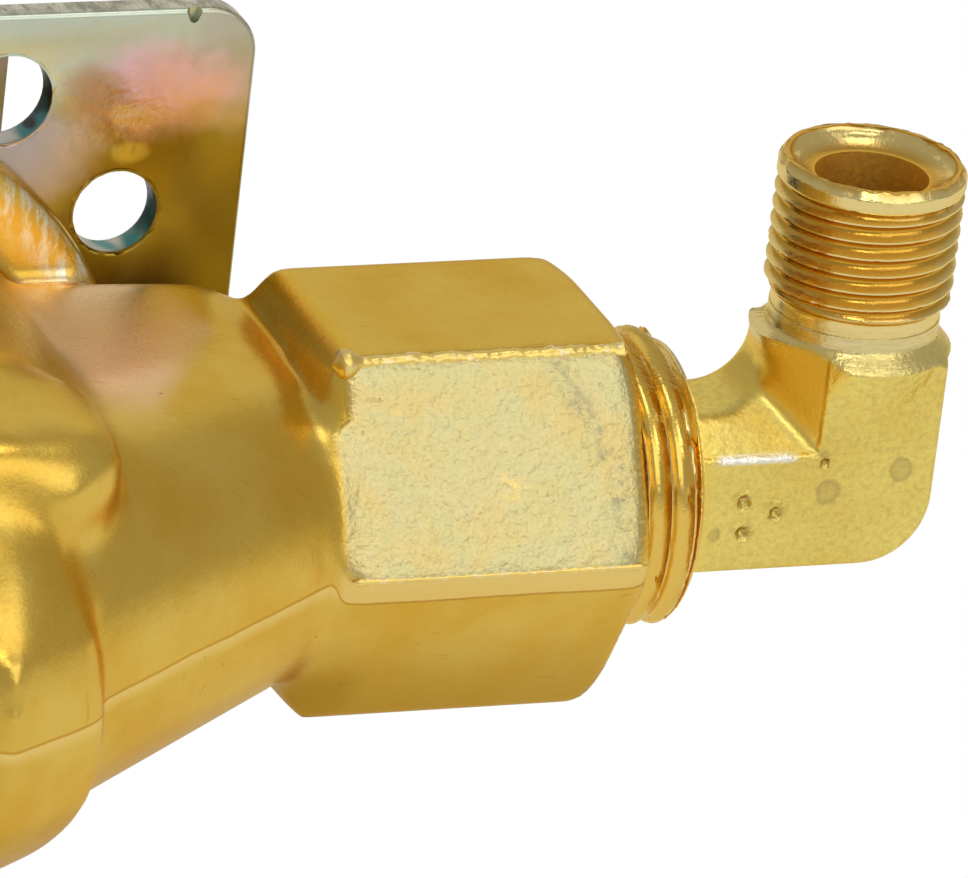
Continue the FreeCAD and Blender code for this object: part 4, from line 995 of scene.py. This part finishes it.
@dataclass
class Forging:
    """The forged body with its rolled edges, parting line and threaded inlet."""

    voxel: float = 0.46
    hex_inner: float = 25.5
    hex_flats: float = 22.2
    growth: float = 0.022
    port_face: float = 43.8
    neck_angle: float = 30.2
    collar_start: float = 29.5
    fold_reach: float = 0.035
    facing: Vector = field(default_factory=lambda: Vector((0, -math.cos(math.radians(30)), 0.5)))
    knobs: tuple[tuple[float, float, float, float, float], ...] = (
        (0.6, -37.3, 14.0, 0.35, 2.0), (4.8, -38.2, 11.2, 0.45, 1.7))
    beads: tuple[tuple[str, float, float, float], ...] = (
        ("upper", 60.0, 0.46, 0.9), ("front", 1.4, 0.20, 0.0))

    @property
    def corner(self) -> float:
        """Radius of the hexagons' corners."""
        return self.hex_flats * (1 + self.growth) / math.sqrt(3)

    def outside(self, place: Vector) -> bool:
        """Tells the forged skin from the machined hollows and the flange's rear face.

        Args:
            place: A point in millimetres.

        Returns:
            Whether it is on the forged skin.
        """
        level, ring, _ = Axis.PORT.split(place)
        back, reach, _ = Axis.SOLENOID.split(place)
        in_port = abs(level) > 28 and ring < 9.4
        in_valve = reach < 12.6 and back > -18
        return not in_port and not in_valve and place.y < -2.4

    def along_neck(self, place: Vector) -> float:
        """Station of a point along its neck, from the port end inwards."""
        slant = math.radians(self.neck_angle)
        inward = (self.hex_inner - abs(place.x)) * math.cos(slant)
        return inward + (PORT_Y - place.y) * math.sin(slant)

    def settle(self, solid: Solid) -> None:
        """Tilts the collars' steps, dips the shoulders and squares up the port ends.

        Args:
            solid: The forging.
        """
        slant = math.radians(self.neck_angle)
        for vert in solid.bm.verts:
            place = vert.co
            if not self.outside(place):
                continue
            side = math.copysign(1.0, place.x)
            level, ring, _ = Axis.PORT.split(place)
            if abs(level) > self.hex_inner:
                grow = 1 + self.growth * ramp(ring, 9.6, 10.4)
                place.y = PORT_Y + (place.y - PORT_Y) * grow
                place.z *= grow
                grown = 0.8 if side > 0 else 0.0
                grown -= 0.45 * max(ring - 11.34, 0.0)
                place.x += side * grown * ramp(abs(level), 38.0, 43.7) * ramp(ring, 9.4, 9.9)
                continue
            near = math.exp(-((self.along_neck(place) - self.collar_start) / 3.2) ** 2)
            tilt = -(0.18 if place.z < 0 else 0.10) * place.z * near
            place.x += side * math.cos(slant) * tilt
            place.y += math.sin(slant) * tilt
            place.z -= 0.75 * ramp(abs(place.x), 22.8, 25.2) * ramp(place.z, 6.0, 9.0)
        for vert in solid.bm.verts:
            share = min(max((27.6 - abs(vert.co.x)) / 2.2, 0.0), 0.97)
            if self.outside(vert.co) and abs(vert.co.x) > 25.35 and vert.co.z > 8.6:
                vert.co.z -= 1.5 * share * share

    def soft(self) -> Solid:
        """Rolls the CAD body's edges as far as the dies left them.

        Returns:
            The soft forging.
        """
        solid = Solid.from_node("valve_body")
        solid.reshaped("REMESH", mode="VOXEL", voxel_size=self.voxel)
        self.settle(solid)
        root, root_end = self.hex_inner - 1.7, self.hex_inner + 1.0
        regions = (
            (2, lambda place: True),
            (9, lambda place: 5 < abs(place.x) < self.hex_inner - 1.5 and place.y < -6.2
                and self.along_neck(place) < self.collar_start - 1.2),
            (5, lambda place: root < abs(place.x) < root_end),
            (14, lambda place: root < abs(place.x) < root_end and place.z < 8.6),
            (18, lambda place: abs(place.x) < self.hex_inner - 3 and place.y < -6.2
                and abs(self.along_neck(place) - self.collar_start) < 1.7),
            (60, lambda place: place.y < -26 and abs(place.x) < 12 and place.z > 5))
        for rounds, wanted in regions:
            solid.soften(lambda place: self.outside(place) and wanted(place), rounds)
        push = Vector((0.1, -0.75, 0.65))
        for x, y, z, height, spread in self.knobs:
            for vert in solid.bm.verts:
                reach = (vert.co - Vector((x, y, z))).length
                if reach < 3 * spread:
                    vert.co += push * height * math.exp(-(reach / spread) ** 2)
        return solid.soften(self.outside, 1)

    def trim_corner(self, solid: Solid) -> None:
        """Shears the flash off along the front and rear corners of both port ends.

        Args:
            solid: The forging.
        """
        slope = Vector((0, -0.972, -0.235))
        foot = Vector((0, -self.corner + 0.12, 0.15))
        for vert in solid.bm.verts:
            if abs(vert.co.x) < self.hex_inner - 0.5:
                continue
            side = -1 if vert.co.y > PORT_Y else 1
            local = Vector((0, side * (vert.co.y - PORT_Y), vert.co.z))
            over = (local - foot).dot(slope)
            if over > 0 and abs(local.z) < 2.4:
                vert.co.y -= side * slope.y * over
                vert.co.z -= slope.z * over

    def tap(self) -> Solid:
        """The tool that cuts the inlet's pipe thread."""
        return Thread(
            Axis.PORT, PIPE_PITCH, 0.5, -self.port_face - 0.8, -self.port_face + 10.0,
            lambda along: 9.0, crest=0.3, points=7, steps=72).solid()

    def bead(self, side: int, corner: float, radius: float, blob: float) -> Solid:
        """A rough bead of metal that the dies squeezed out along a port end's edge.

        Args:
            side: 1 for the outlet's port end, -1 for the inlet's.
            corner: Angle of the hexagon's corner in degrees, from the front edge upwards.
            radius: Radius of the bead.
            blob: How much thicker the bead ends at the neck.

        Returns:
            The bead.
        """
        solid = Solid()
        seed = 3.0 * side + corner
        turn = math.radians(corner)
        reach = self.corner - 0.30 - radius * 0.55
        first, last = self.hex_inner + 0.5, self.port_face + (0.3 if side > 0 else -0.7)
        start = Vector((side * first, PORT_Y - reach * math.cos(turn), reach * math.sin(turn)))
        bmesh.ops.create_circle(
            solid.bm, cap_ends=True, segments=12, radius=radius,
            matrix=Matrix.Translation(start) @ Matrix.Rotation(math.pi / 2, 4, "Y"))
        count = 120
        faces = list(solid.bm.faces)
        for _ in range(count):
            grown = bmesh.ops.extrude_face_region(solid.bm, geom=faces)["geom"]
            bmesh.ops.delete(solid.bm, geom=faces, context="FACES_ONLY")
            faces = [item for item in grown if isinstance(item, bmesh.types.BMFace)]
            verts = [item for item in grown if isinstance(item, bmesh.types.BMVert)]
            bmesh.ops.translate(solid.bm, verts=verts, vec=(side * (last - first) / count, 0, 0))
        bmesh.ops.holes_fill(solid.bm, edges=[edge for edge in solid.bm.edges if edge.is_boundary])
        middle = Vector((0, start.y, start.z))
        for vert in solid.bm.verts:
            along = abs(vert.co.x)
            offset = Vector((0, vert.co.y, vert.co.z)) - middle
            lump = noise.noise(Vector((along * 0.8, seed, 0)))
            fine = noise.noise(Vector((along * 2.6, vert.co.y * 2, vert.co.z * 2 + seed)))
            ends = min(
                ramp(along, first - 0.1, first + 0.5), 1 - ramp(along, last - 0.5, last + 0.1))
            swell = blob * math.exp(-((along - first - 0.75) / 0.75) ** 2)
            vert.co += offset * (ends * (1 + 0.22 * lump + 0.22 * fine + swell) - 1)
        return solid.outward()

    def marks(self, place: Vector, normal: Vector) -> dict[str, float]:
        """Weighs the forging's marks.

        Args:
            place: A point in millimetres.
            normal: Its normal.

        Returns:
            Each mark's strength there.
        """
        level = abs(place.x)
        rose_end = 21.4 + 0.61 * min(place.y + 14.0, 0.0)
        smear_x = 39.5 + 3.0 * min(max((10.5 - place.z) / 5.1, 0.0), 1.0)
        smear_x += 0.5 * noise.noise(place * 0.9)
        smear_width = 0.45 + 0.5 * max(noise.noise(place * 0.7), 0.0)
        smudged = math.hypot(level - 36.2, place.z - 4.6) + 0.5 * noise.noise(place * 1.4)
        return {
            # Orange peel on the flats that face front and up; its pale tint is partly painted
            # sheen.
            "peel": ramp(normal.dot(self.facing), 0.90, 0.97) * ramp(
                level, self.hex_inner + 0.1, self.hex_inner + 0.7),
            "port_end": ramp(level, self.hex_inner - 0.5, self.hex_inner + 0.5),
            # Painted reflection of the pink bracket on the neck's flat top.
            "rose": ramp(normal.z, 0.70, 0.93) * ramp(place.z, 7.0, 9.0)
            * ramp(place.y, -28.0, -21.0) * ramp(level, 8.0, 10.0)
            * (1 - ramp(level - rose_end, -1.6, 0.8)),
            # Painted shade on faces that look down, and low where the necks meet the hexagons.
            "low": max(
                ramp(-normal.z, 0.50, 0.95),
                ramp(-place.z, 2.0, 11.0) * ramp(-normal.z, 0.35, 0.48) * 0.78,
                band(level, 23.0, 25.2, 27.5, 33.0) * ramp(-place.z, 4.0, 9.0)),
            # Painted shade: warm deep orange on the hexagon's rolled root next to the neck.
            "rolled": 0.7 * band(level, 25.6, 26.5, 27.2, 28.2) * ramp(place.z, -2.0, 2.0),
            "smear": 1 - ramp(abs(level - smear_x), smear_width * 0.4, smear_width * 1.6),
            "smudge": 1 - ramp(smudged, 0.3, 1.1),
            "scraped": ramp(Axis.SOLENOID.split(place)[1], 17.0, 18.2)
            * ramp(-normal.y, 0.3, 0.8) * (-8 < place.y < -4.6)}

    def build(self) -> None:
        """Shapes the body and dresses it and its beads."""
        solid = self.soft()
        self.trim_corner(solid)
        solid.paint_relief(self.fold_reach).combine(self.tap(), Join.CUT).paint(self.marks)
        Piece("forged_body", "forged_brass", ("valve_body",)).finish(
            solid, ForgedBrass().material(), 60.0)
        squeezed = BEAD_BRASS.material()
        for side, end in ((1, "outlet"), (-1, "inlet")):
            for name, *shape in self.beads:
                Piece(f"{end}_{name}_bead", "forged_brass").finish(
                    self.bead(side, *shape), squeezed)


@dataclass
class Elbow:
    """The outlet elbow: forged block, turned shoulder, tube thread and taper thread."""

    face: float = -19.6
    rim: float = 19.4
    relief: float = 11.0
    shoulder: float = 10.1
    cone_top: float = 9.58
    cone_radius: float = 4.6
    crest: float = 5.5
    relief_radius: float = 4.95
    bore: float = 3.35
    mouth: float = 4.85
    mouth_depth: float = 1.05
    tube_pitch: float = 1.058
    port_face: float = 43.8
    ring_end: float = 48.9
    inner_x: float = 57.7
    inner_z: float = 2.7
    voxel: float = 0.19
    pits: tuple[Triple, ...] = (
        (53.2, 0.08, 0.5), (55.27, -0.72, 0.5), (53.31, -1.88, 0.52), (57.95, 2.3, 0.36))

    def tube_radius(self, height: float) -> float:
        """Outline of the tube end: relief, sloping start, crests and rolled rim.

        Args:
            height: Height in millimetres.

        Returns:
            The radius there.
        """
        lead = ramp(height, self.relief - 0.1, self.relief + 0.45)
        outline = self.relief_radius + (self.crest - self.relief_radius) * lead
        return outline - 0.75 * max(height - (self.rim - 0.5), 0.0) ** 1.3

    def taper_radius(self, along: float) -> float:
        """Radius of the taper thread's crests."""
        return 8.55 + 0.03125 * (along - self.port_face)

    def tube(self) -> Solid:
        """The upright end with its tube thread, without its bore."""
        return Thread(
            Axis.TUBE, self.tube_pitch, 0.52, self.shoulder - 0.9, self.rim, self.tube_radius,
            lambda height: band(
                height, self.relief, self.relief + 0.7, self.rim - 1.75, self.rim - 1.15)).solid()

    def taper(self) -> Solid:
        """The taper thread between the port and the block."""
        return Thread(
            Axis.PORT, PIPE_PITCH, 0.42, self.port_face - 9.8, self.ring_end + 0.6,
            lambda along: self.taper_radius(along)
            - 0.9 * ramp(along, self.ring_end - 0.3, self.ring_end + 0.7), crest=0.07).solid()

    def hollow(self) -> Solid:
        """The tool that cuts the bell mouth and the bore.

        Returns:
            The tool, down to the level bore.
        """
        edge = self.rim - self.mouth_depth
        profile = [(0.0, 0.0), (self.bore, 0.0), (self.bore, edge)]
        for share in (step / 8 for step in range(1, 9)):
            profile.append((
                self.bore + (self.mouth - self.bore) * share ** 0.8, edge + 0.95 * share ** 1.25))
        profile += [(self.mouth + 0.1, self.rim + 1.0), (0.0, self.rim + 1.0)]
        return Solid.turned(Axis.TUBE, profile, 96)

    def level(self, end: float) -> Solid:
        """The tool that cuts the level bore as far as a station along X."""
        return Solid.turned(Axis.PORT, [
            (0.0, 30.0), (self.bore, 30.0), (self.bore, end), (0.0, end)], 48)

    def mitre(self) -> Solid:
        """The wedge that slopes the leg and the arm back from their inner corner.

        Returns:
            The tool that cuts it.
        """
        solid = Solid()
        bmesh.ops.create_cube(solid.bm, size=1.0)
        bmesh.ops.scale(solid.bm, verts=solid.bm.verts, vec=(14.0, 12.0, 9.4))
        bmesh.ops.translate(solid.bm, verts=solid.bm.verts, vec=(52.0, -15.4, 6.2))
        solid.slice((self.inner_x, self.face, 0), (0.78, 0.62, 0))
        return solid.slice((0, self.face, self.inner_z), (0, 0.62, -0.78))

    def block(self) -> Solid:
        """The forged block with its turned shoulder, pits and rolled edges.

        Returns:
            The block without its thread ends.
        """
        solid = Solid.from_node("outlet_elbow")
        solid.slice((0, 0, self.shoulder), (0, 0, 1)).slice((self.ring_end - 0.1, 0, 0), (-1, 0, 0))
        solid.combine(self.mitre(), Join.CUT)
        solid.reshaped("REMESH", mode="VOXEL", voxel_size=self.voxel)
        solid.soften(lambda place: True, 3)
        solid.soften(lambda place: place.x < 57.3 and 3.0 < place.z < 7.8
                     and place.y > self.face + 0.4, 30)
        solid.soften(lambda place: place.x < 58.6 and place.z > 2.3, 6)
        for vert in solid.bm.verts:
            height, radius, outward = Axis.TUBE.split(vert.co)
            if height > 6.5 and vert.co.x > 54.4:
                allowed = max(5.0, self.cone_radius + (self.cone_top - height) * 0.95)
                allowed += 9.0 * ramp(56.0 - vert.co.x, 0.0, 0.9) * (1 - ramp(height, 8.0, 9.0))
                vert.co -= outward * max(radius - allowed, 0.0)
        for vert in solid.bm.verts:
            if vert.co.y > self.face + 0.6:
                continue
            for x, z, radius in self.pits:
                reach = math.hypot(vert.co.x - x, vert.co.z - z) / radius
                if reach < 1.9:
                    rough = 1 + 0.9 * noise.noise(Vector((vert.co.x * 3.5, 0, vert.co.z * 3.5)))
                    bowl = 0.30 * (1 - ramp(reach, 0.1, 0.85)) * rough
                    lip = 0.15 * math.exp(-((reach - 1.1) / 0.28) ** 2) * rough
                    vert.co.y += bowl - lip
        return solid

    def nick(self, solid: Solid) -> None:
        """Dents the rim and the crests as handling did.

        Args:
            solid: The block or the taper.
        """
        for vert in solid.bm.verts:
            height, radius, outward = Axis.TUBE.split(vert.co)
            if height > self.shoulder + 0.1 and radius > self.crest - 0.3:
                vert.co -= outward * max(noise.noise(vert.co * 1.6) - 0.22, 0.0) * 0.22
            if height > self.rim - 0.45 and radius > self.mouth - 0.6:
                burr = noise.noise(Vector((vert.co.x * 0.9, vert.co.y * 0.9, 7.0)))
                vert.co.z -= abs(burr) * 0.28
            along, ring, away = Axis.PORT.split(vert.co)
            if self.port_face < along < self.ring_end and ring > 8.35:
                vert.co -= away * max(noise.noise(vert.co * 2.1) - 0.2, 0.0) * 0.35

    def cut_depth(self, place: Vector) -> float:
        """Depth of a point below the mouth's edge or a thread's crests, which the finish darkens as
        painted shade.

        Args:
            place: A point in millimetres.

        Returns:
            The depth, from 0 to 1.
        """
        height, radius, _ = Axis.TUBE.split(place)
        if height > self.shoulder and radius < self.mouth:
            return 0.15 + 0.85 * ramp(self.mouth - radius, 0.4, 1.4)
        if height > self.relief:
            return ramp(self.crest - radius, 0.05, 0.46)
        along, ring, _ = Axis.PORT.split(place)
        return ramp(self.taper_radius(along) - ring, 0.02, 0.20) if along < self.ring_end else 0.0

    def marks(self, place: Vector, normal: Vector) -> dict[str, float]:
        """Weighs the elbow's marks.

        Args:
            place: A point in millimetres.
            normal: Its normal.

        Returns:
            Each mark's strength there.
        """
        height, radius, _ = Axis.TUBE.split(place)
        along, ring, _ = Axis.PORT.split(place)
        on_taper = along < self.ring_end + 0.3 and ring > 7.0
        above_cone = height - self.cone_top + 1.05 * (radius - self.cone_radius)
        inner = place.x < self.inner_x + 0.2 and place.z > self.inner_z - 0.1
        return {
            "turned": ramp(above_cone, -0.1, 0.1) * band(
                height, 7.0, 7.4, self.shoulder + 0.1, 10.8),
            "threaded": float(height > self.shoulder or on_taper),
            "worn": float(on_taper),
            # Depth into the grooves and the mouth, for painted shade.
            "deep": self.cut_depth(place),
            # The bore, which gets painted light.
            "bore": float(radius < self.bore + 0.15 and height > 4.0),
            # Painted highlight along the arm's front top edge.
            "silver": (1 - ramp(abs(place.z - self.inner_z), 0.14, 0.3))
            * band(place.x, 51.0, 51.8, 55.6, 56.6) * (place.y < self.face + 0.5),
            "sloped": inner * ramp(place.y, self.face + 0.05, self.face + 0.35),
            "shade": max(
                ramp(-normal.x, 0.25, 0.6) * ramp(place.z, 2.6, 4.0),
                0.8 * band(place.x, 49.0, 49.4, 50.2, 52.0) * ramp(-place.y, 10, 19)),
            "sunk": ramp(1 - abs(normal.y), 0.02, 0.2) * (place.y < self.face + 0.45)
            * (51.5 < place.x < 59.5) * (-3.5 < place.z < 2.45)}

    def build(self) -> None:
        """Puts the elbow together and dresses it."""
        solid = self.block().combine(self.tube(), Join.UNION).combine(self.level(ELBOW_X), Join.CUT)
        solid.combine(self.hollow(), Join.CUT)
        taper = self.taper().combine(self.level(self.ring_end + 1.1), Join.CUT)
        finish = ElbowBrass().material()
        for part, title, nodes in ((solid, "elbow", ("outlet_elbow",)), (taper, "elbow_taper", ())):
            self.nick(part)
            Piece(title, "elbow_brass", nodes).finish(part.paint(self.marks), finish, 50.0)


@dataclass
class Bracket:
    """The mounting bracket and the thin wavy rings round its holes."""

    rim: float = 0.25
    front: float = -2.0
    half: float = 24.7
    circle: float = 23.0
    spread: float = 12.9
    wide_radius: float = 2.55
    tall_radius: float = 2.75
    bead: float = 0.17

    def rims(self) -> Solid:
        """Flat wavy rings round the eight screw holes.

        The circle is swept in its own plane, so a ring is a folded sheet with no thickness. It
        isn't the round bead that a punch raises.

        Returns:
            The rings as one mesh.
        """
        solid = Solid()
        flat = Matrix.Rotation(math.pi / 2, 4, "Z") @ Matrix.Rotation(math.pi / 2, 4, "Y")
        for degrees in (quarter + side * self.spread
                        for quarter in (45, 135, 225, 315) for side in (-1, 1)):
            across, up = math.cos(math.radians(degrees)), math.sin(math.radians(degrees))
            radius = (self.wide_radius if abs(across) > abs(up) else self.tall_radius) + 0.16
            centre = Vector((self.circle * across, self.front + 0.03, self.circle * up))
            verts = bmesh.ops.create_circle(
                solid.bm, cap_ends=False, segments=8, radius=self.bead,
                matrix=Matrix.Translation(centre + Vector((radius, 0, 0))) @ flat)["verts"]
            edges = list({edge for vert in verts for edge in vert.link_edges})
            bmesh.ops.spin(
                solid.bm, geom=verts + edges, cent=centre, axis=(0, 1, 0), angle=math.tau,
                steps=64, use_merge=True)
        solid.merge(0.001)
        for vert in solid.bm.verts:
            vert.co.y += 0.09 * noise.noise(vert.co * 2.4)
        return solid.outward()

    def notch(self) -> Solid:
        """The tool that cuts the small tear in the upper edge.

        Returns:
            The tool.
        """
        solid = Solid()
        bmesh.ops.create_cone(
            solid.bm, cap_ends=True, segments=7, radius1=0.95, radius2=0.15, depth=2.2,
            matrix=Matrix.Translation((23.1, self.front - 0.1, self.half - 0.05))
            @ Matrix.Rotation(math.radians(205), 4, "X"))
        return solid.outward()

    def marks(self, place: Vector, normal: Vector) -> dict[str, float]:
        """Weighs the bracket's marks.

        Args:
            place: A point in millimetres.
            normal: Its normal.

        Returns:
            Each mark's strength there.
        """
        side = 1 - abs(normal.y)
        within = self.front + 0.1 < place.y < -0.1
        outer = max(abs(place.x), abs(place.z)) > self.half - 1
        return {
            # The holes' walls, which the finish gives painted reflections.
            "wall": ramp(side, 0.5, 0.9) * within * (not outer),
            "sheared": ramp(side, 0.25, 0.6) * within * outer}

    def build(self) -> None:
        """Dresses the plate and its rings."""
        finish = Chromate().material()
        solid = Solid.from_node("mounting_bracket").bevel(60, self.rim, 3)
        solid.combine(self.notch(), Join.CUT).paint(self.marks)
        Piece("bracket_plate", "chromate_steel", ("mounting_bracket",)).finish(solid, finish)
        Piece("bracket_rims", "chromate_steel").finish(self.rims(), finish)


@dataclass
class Studio:
    """Camera, lamps, floor and world. A lamp is its place, size and power, in metres and watts."""

    azimuth: float = -23.315
    elevation: float = 23.753
    roll: float = 6.825
    focus_px: float = 11201.0
    scale_px: float = 17.4
    target: Vector = field(default_factory=lambda: Vector((38.503, PORT_Y, 2.764)))
    floor_height: float = -25.0
    floor_size: float = 3.0
    floor_color: Color = (0.80, 0.77, 0.72)
    sky_color: Color = (1.0, 0.98, 0.95)
    sky_power: float = 0.42
    lamps: tuple[tuple[str, Triple, tuple[float, float], float], ...] = (
        ("key", (0.33, -0.70, 0.50), (0.8, 0.6), 1.6),
        ("back", (0.36, 0.80, 0.42), (0.9, 0.6), 0.5),
        ("spark", (-0.20, -0.60, 0.75), (0.26, 0.26), 0.8),
        ("top", (0.25, -0.10, 0.93), (0.36, 0.36), 0.9))

    def camera(self) -> None:
        """Places the camera as in the photograph."""
        turn, rise, roll = (math.radians(a) for a in (self.azimuth, self.elevation, self.roll))
        back = Vector((
            math.sin(turn) * math.cos(rise), -math.cos(turn) * math.cos(rise), math.sin(rise)))
        level = Vector((math.cos(turn), math.sin(turn), 0))
        right = math.cos(roll) * level + math.sin(roll) * back.cross(level)
        data = bpy.data.cameras.new("camera")
        data.sensor_fit = "HORIZONTAL"
        data.sensor_width = 36.0
        data.lens = self.focus_px / PHOTO_WIDTH * data.sensor_width
        data.clip_start, data.clip_end = 0.02, 20.0
        camera = add_object("camera", data)
        matrix = Matrix((right, back.cross(right), back)).transposed().to_4x4()
        matrix.translation = (self.target + back * (self.focus_px / self.scale_px)) * MM
        camera.matrix_world = matrix
        bpy.context.scene.camera = camera

    def lamp(self, name: str, place: Triple, size: tuple[float, float], power: float) -> None:
        """Hangs a soft box that faces the valve.

        Args:
            name: Name of the lamp.
            place: Its place in metres.
            size: Its width and height in metres.
            power: Its power in watts.
        """
        data = bpy.data.lights.new(name, "AREA")
        data.shape = "RECTANGLE"
        data.size, data.size_y = size
        data.energy = power
        lamp = add_object(name, data)
        lamp.location = place
        lamp.rotation_euler = (self.target * MM - Vector(place)).to_track_quat("-Z", "Y").to_euler()

    def white_to_camera(self, nodes: Nodes, lit: Wire, white: str, glossy: float) -> None:
        """Shows plain white to the camera and in reflections, and the lit surface to the rest.

        Args:
            nodes: The node tree.
            lit: The shader that lights the scene.
            white: Node type of the plain white.
            glossy: Share of white that reflections see.
        """
        path = nodes.add("ShaderNodeLightPath")
        camera, shine, through = (Wire(nodes, path.outputs[name]) for name in (
            "Is Camera Ray", "Is Glossy Ray", "Is Transmission Ray"))
        seen = (shine * glossy + camera).larger(through)
        plain = nodes.out(white, {"Color": (1, 1, 1), "Strength": 1.0})
        nodes.feed(nodes.surface, nodes.out("ShaderNodeMixShader", {0: seen, 1: lit, 2: plain}))

    def world(self) -> None:
        """Sets the pale surroundings."""
        world = bpy.data.worlds.new("studio")
        bpy.context.scene.world = world
        nodes = Nodes(world, "ShaderNodeOutputWorld")
        soft = {"Color": self.sky_color, "Strength": self.sky_power}
        self.white_to_camera(
            nodes, nodes.out("ShaderNodeBackground", soft), "ShaderNodeBackground", 0.0)

    def floor(self) -> None:
        """Lays the pale floor."""
        bm = bmesh.new()
        bmesh.ops.create_grid(bm, x_segments=1, y_segments=1, size=self.floor_size)
        bmesh.ops.translate(bm, vec=(0, 0, self.floor_height * MM), verts=bm.verts)
        mesh = bpy.data.meshes.new("floor")
        bm.to_mesh(mesh)
        bm.free()
        floor = add_object("floor", mesh)
        nodes = Nodes(bpy.data.materials.new("pale_floor"))
        lit = nodes.out("ShaderNodeBsdfDiffuse", {"Color": self.floor_color})
        self.white_to_camera(nodes, lit, "ShaderNodeEmission", 0.6)
        mesh.materials.append(nodes.owner)

    def build(self) -> None:
        """Sets the whole stage."""
        self.camera()
        self.world()
        self.floor()
        for lamp in self.lamps:
            self.lamp(*lamp)
        bpy.context.scene.view_settings.view_transform = "Standard"


def corners(box: Iterable[Vector]) -> list[list[float]]:
    """Turns a box into plain lists of numbers."""
    return [list(corner) for corner in box]


def main() -> None:
    """Builds the pieces in order."""
    logging.basicConfig(level=logging.INFO, format="%(message)s")
    for part in (Forging(), Elbow(), Bracket(), HiddenWorks(), Studio()):
        part.build()
        log.info("%s built", type(part).__name__)


if __name__ == "__main__":
    main()
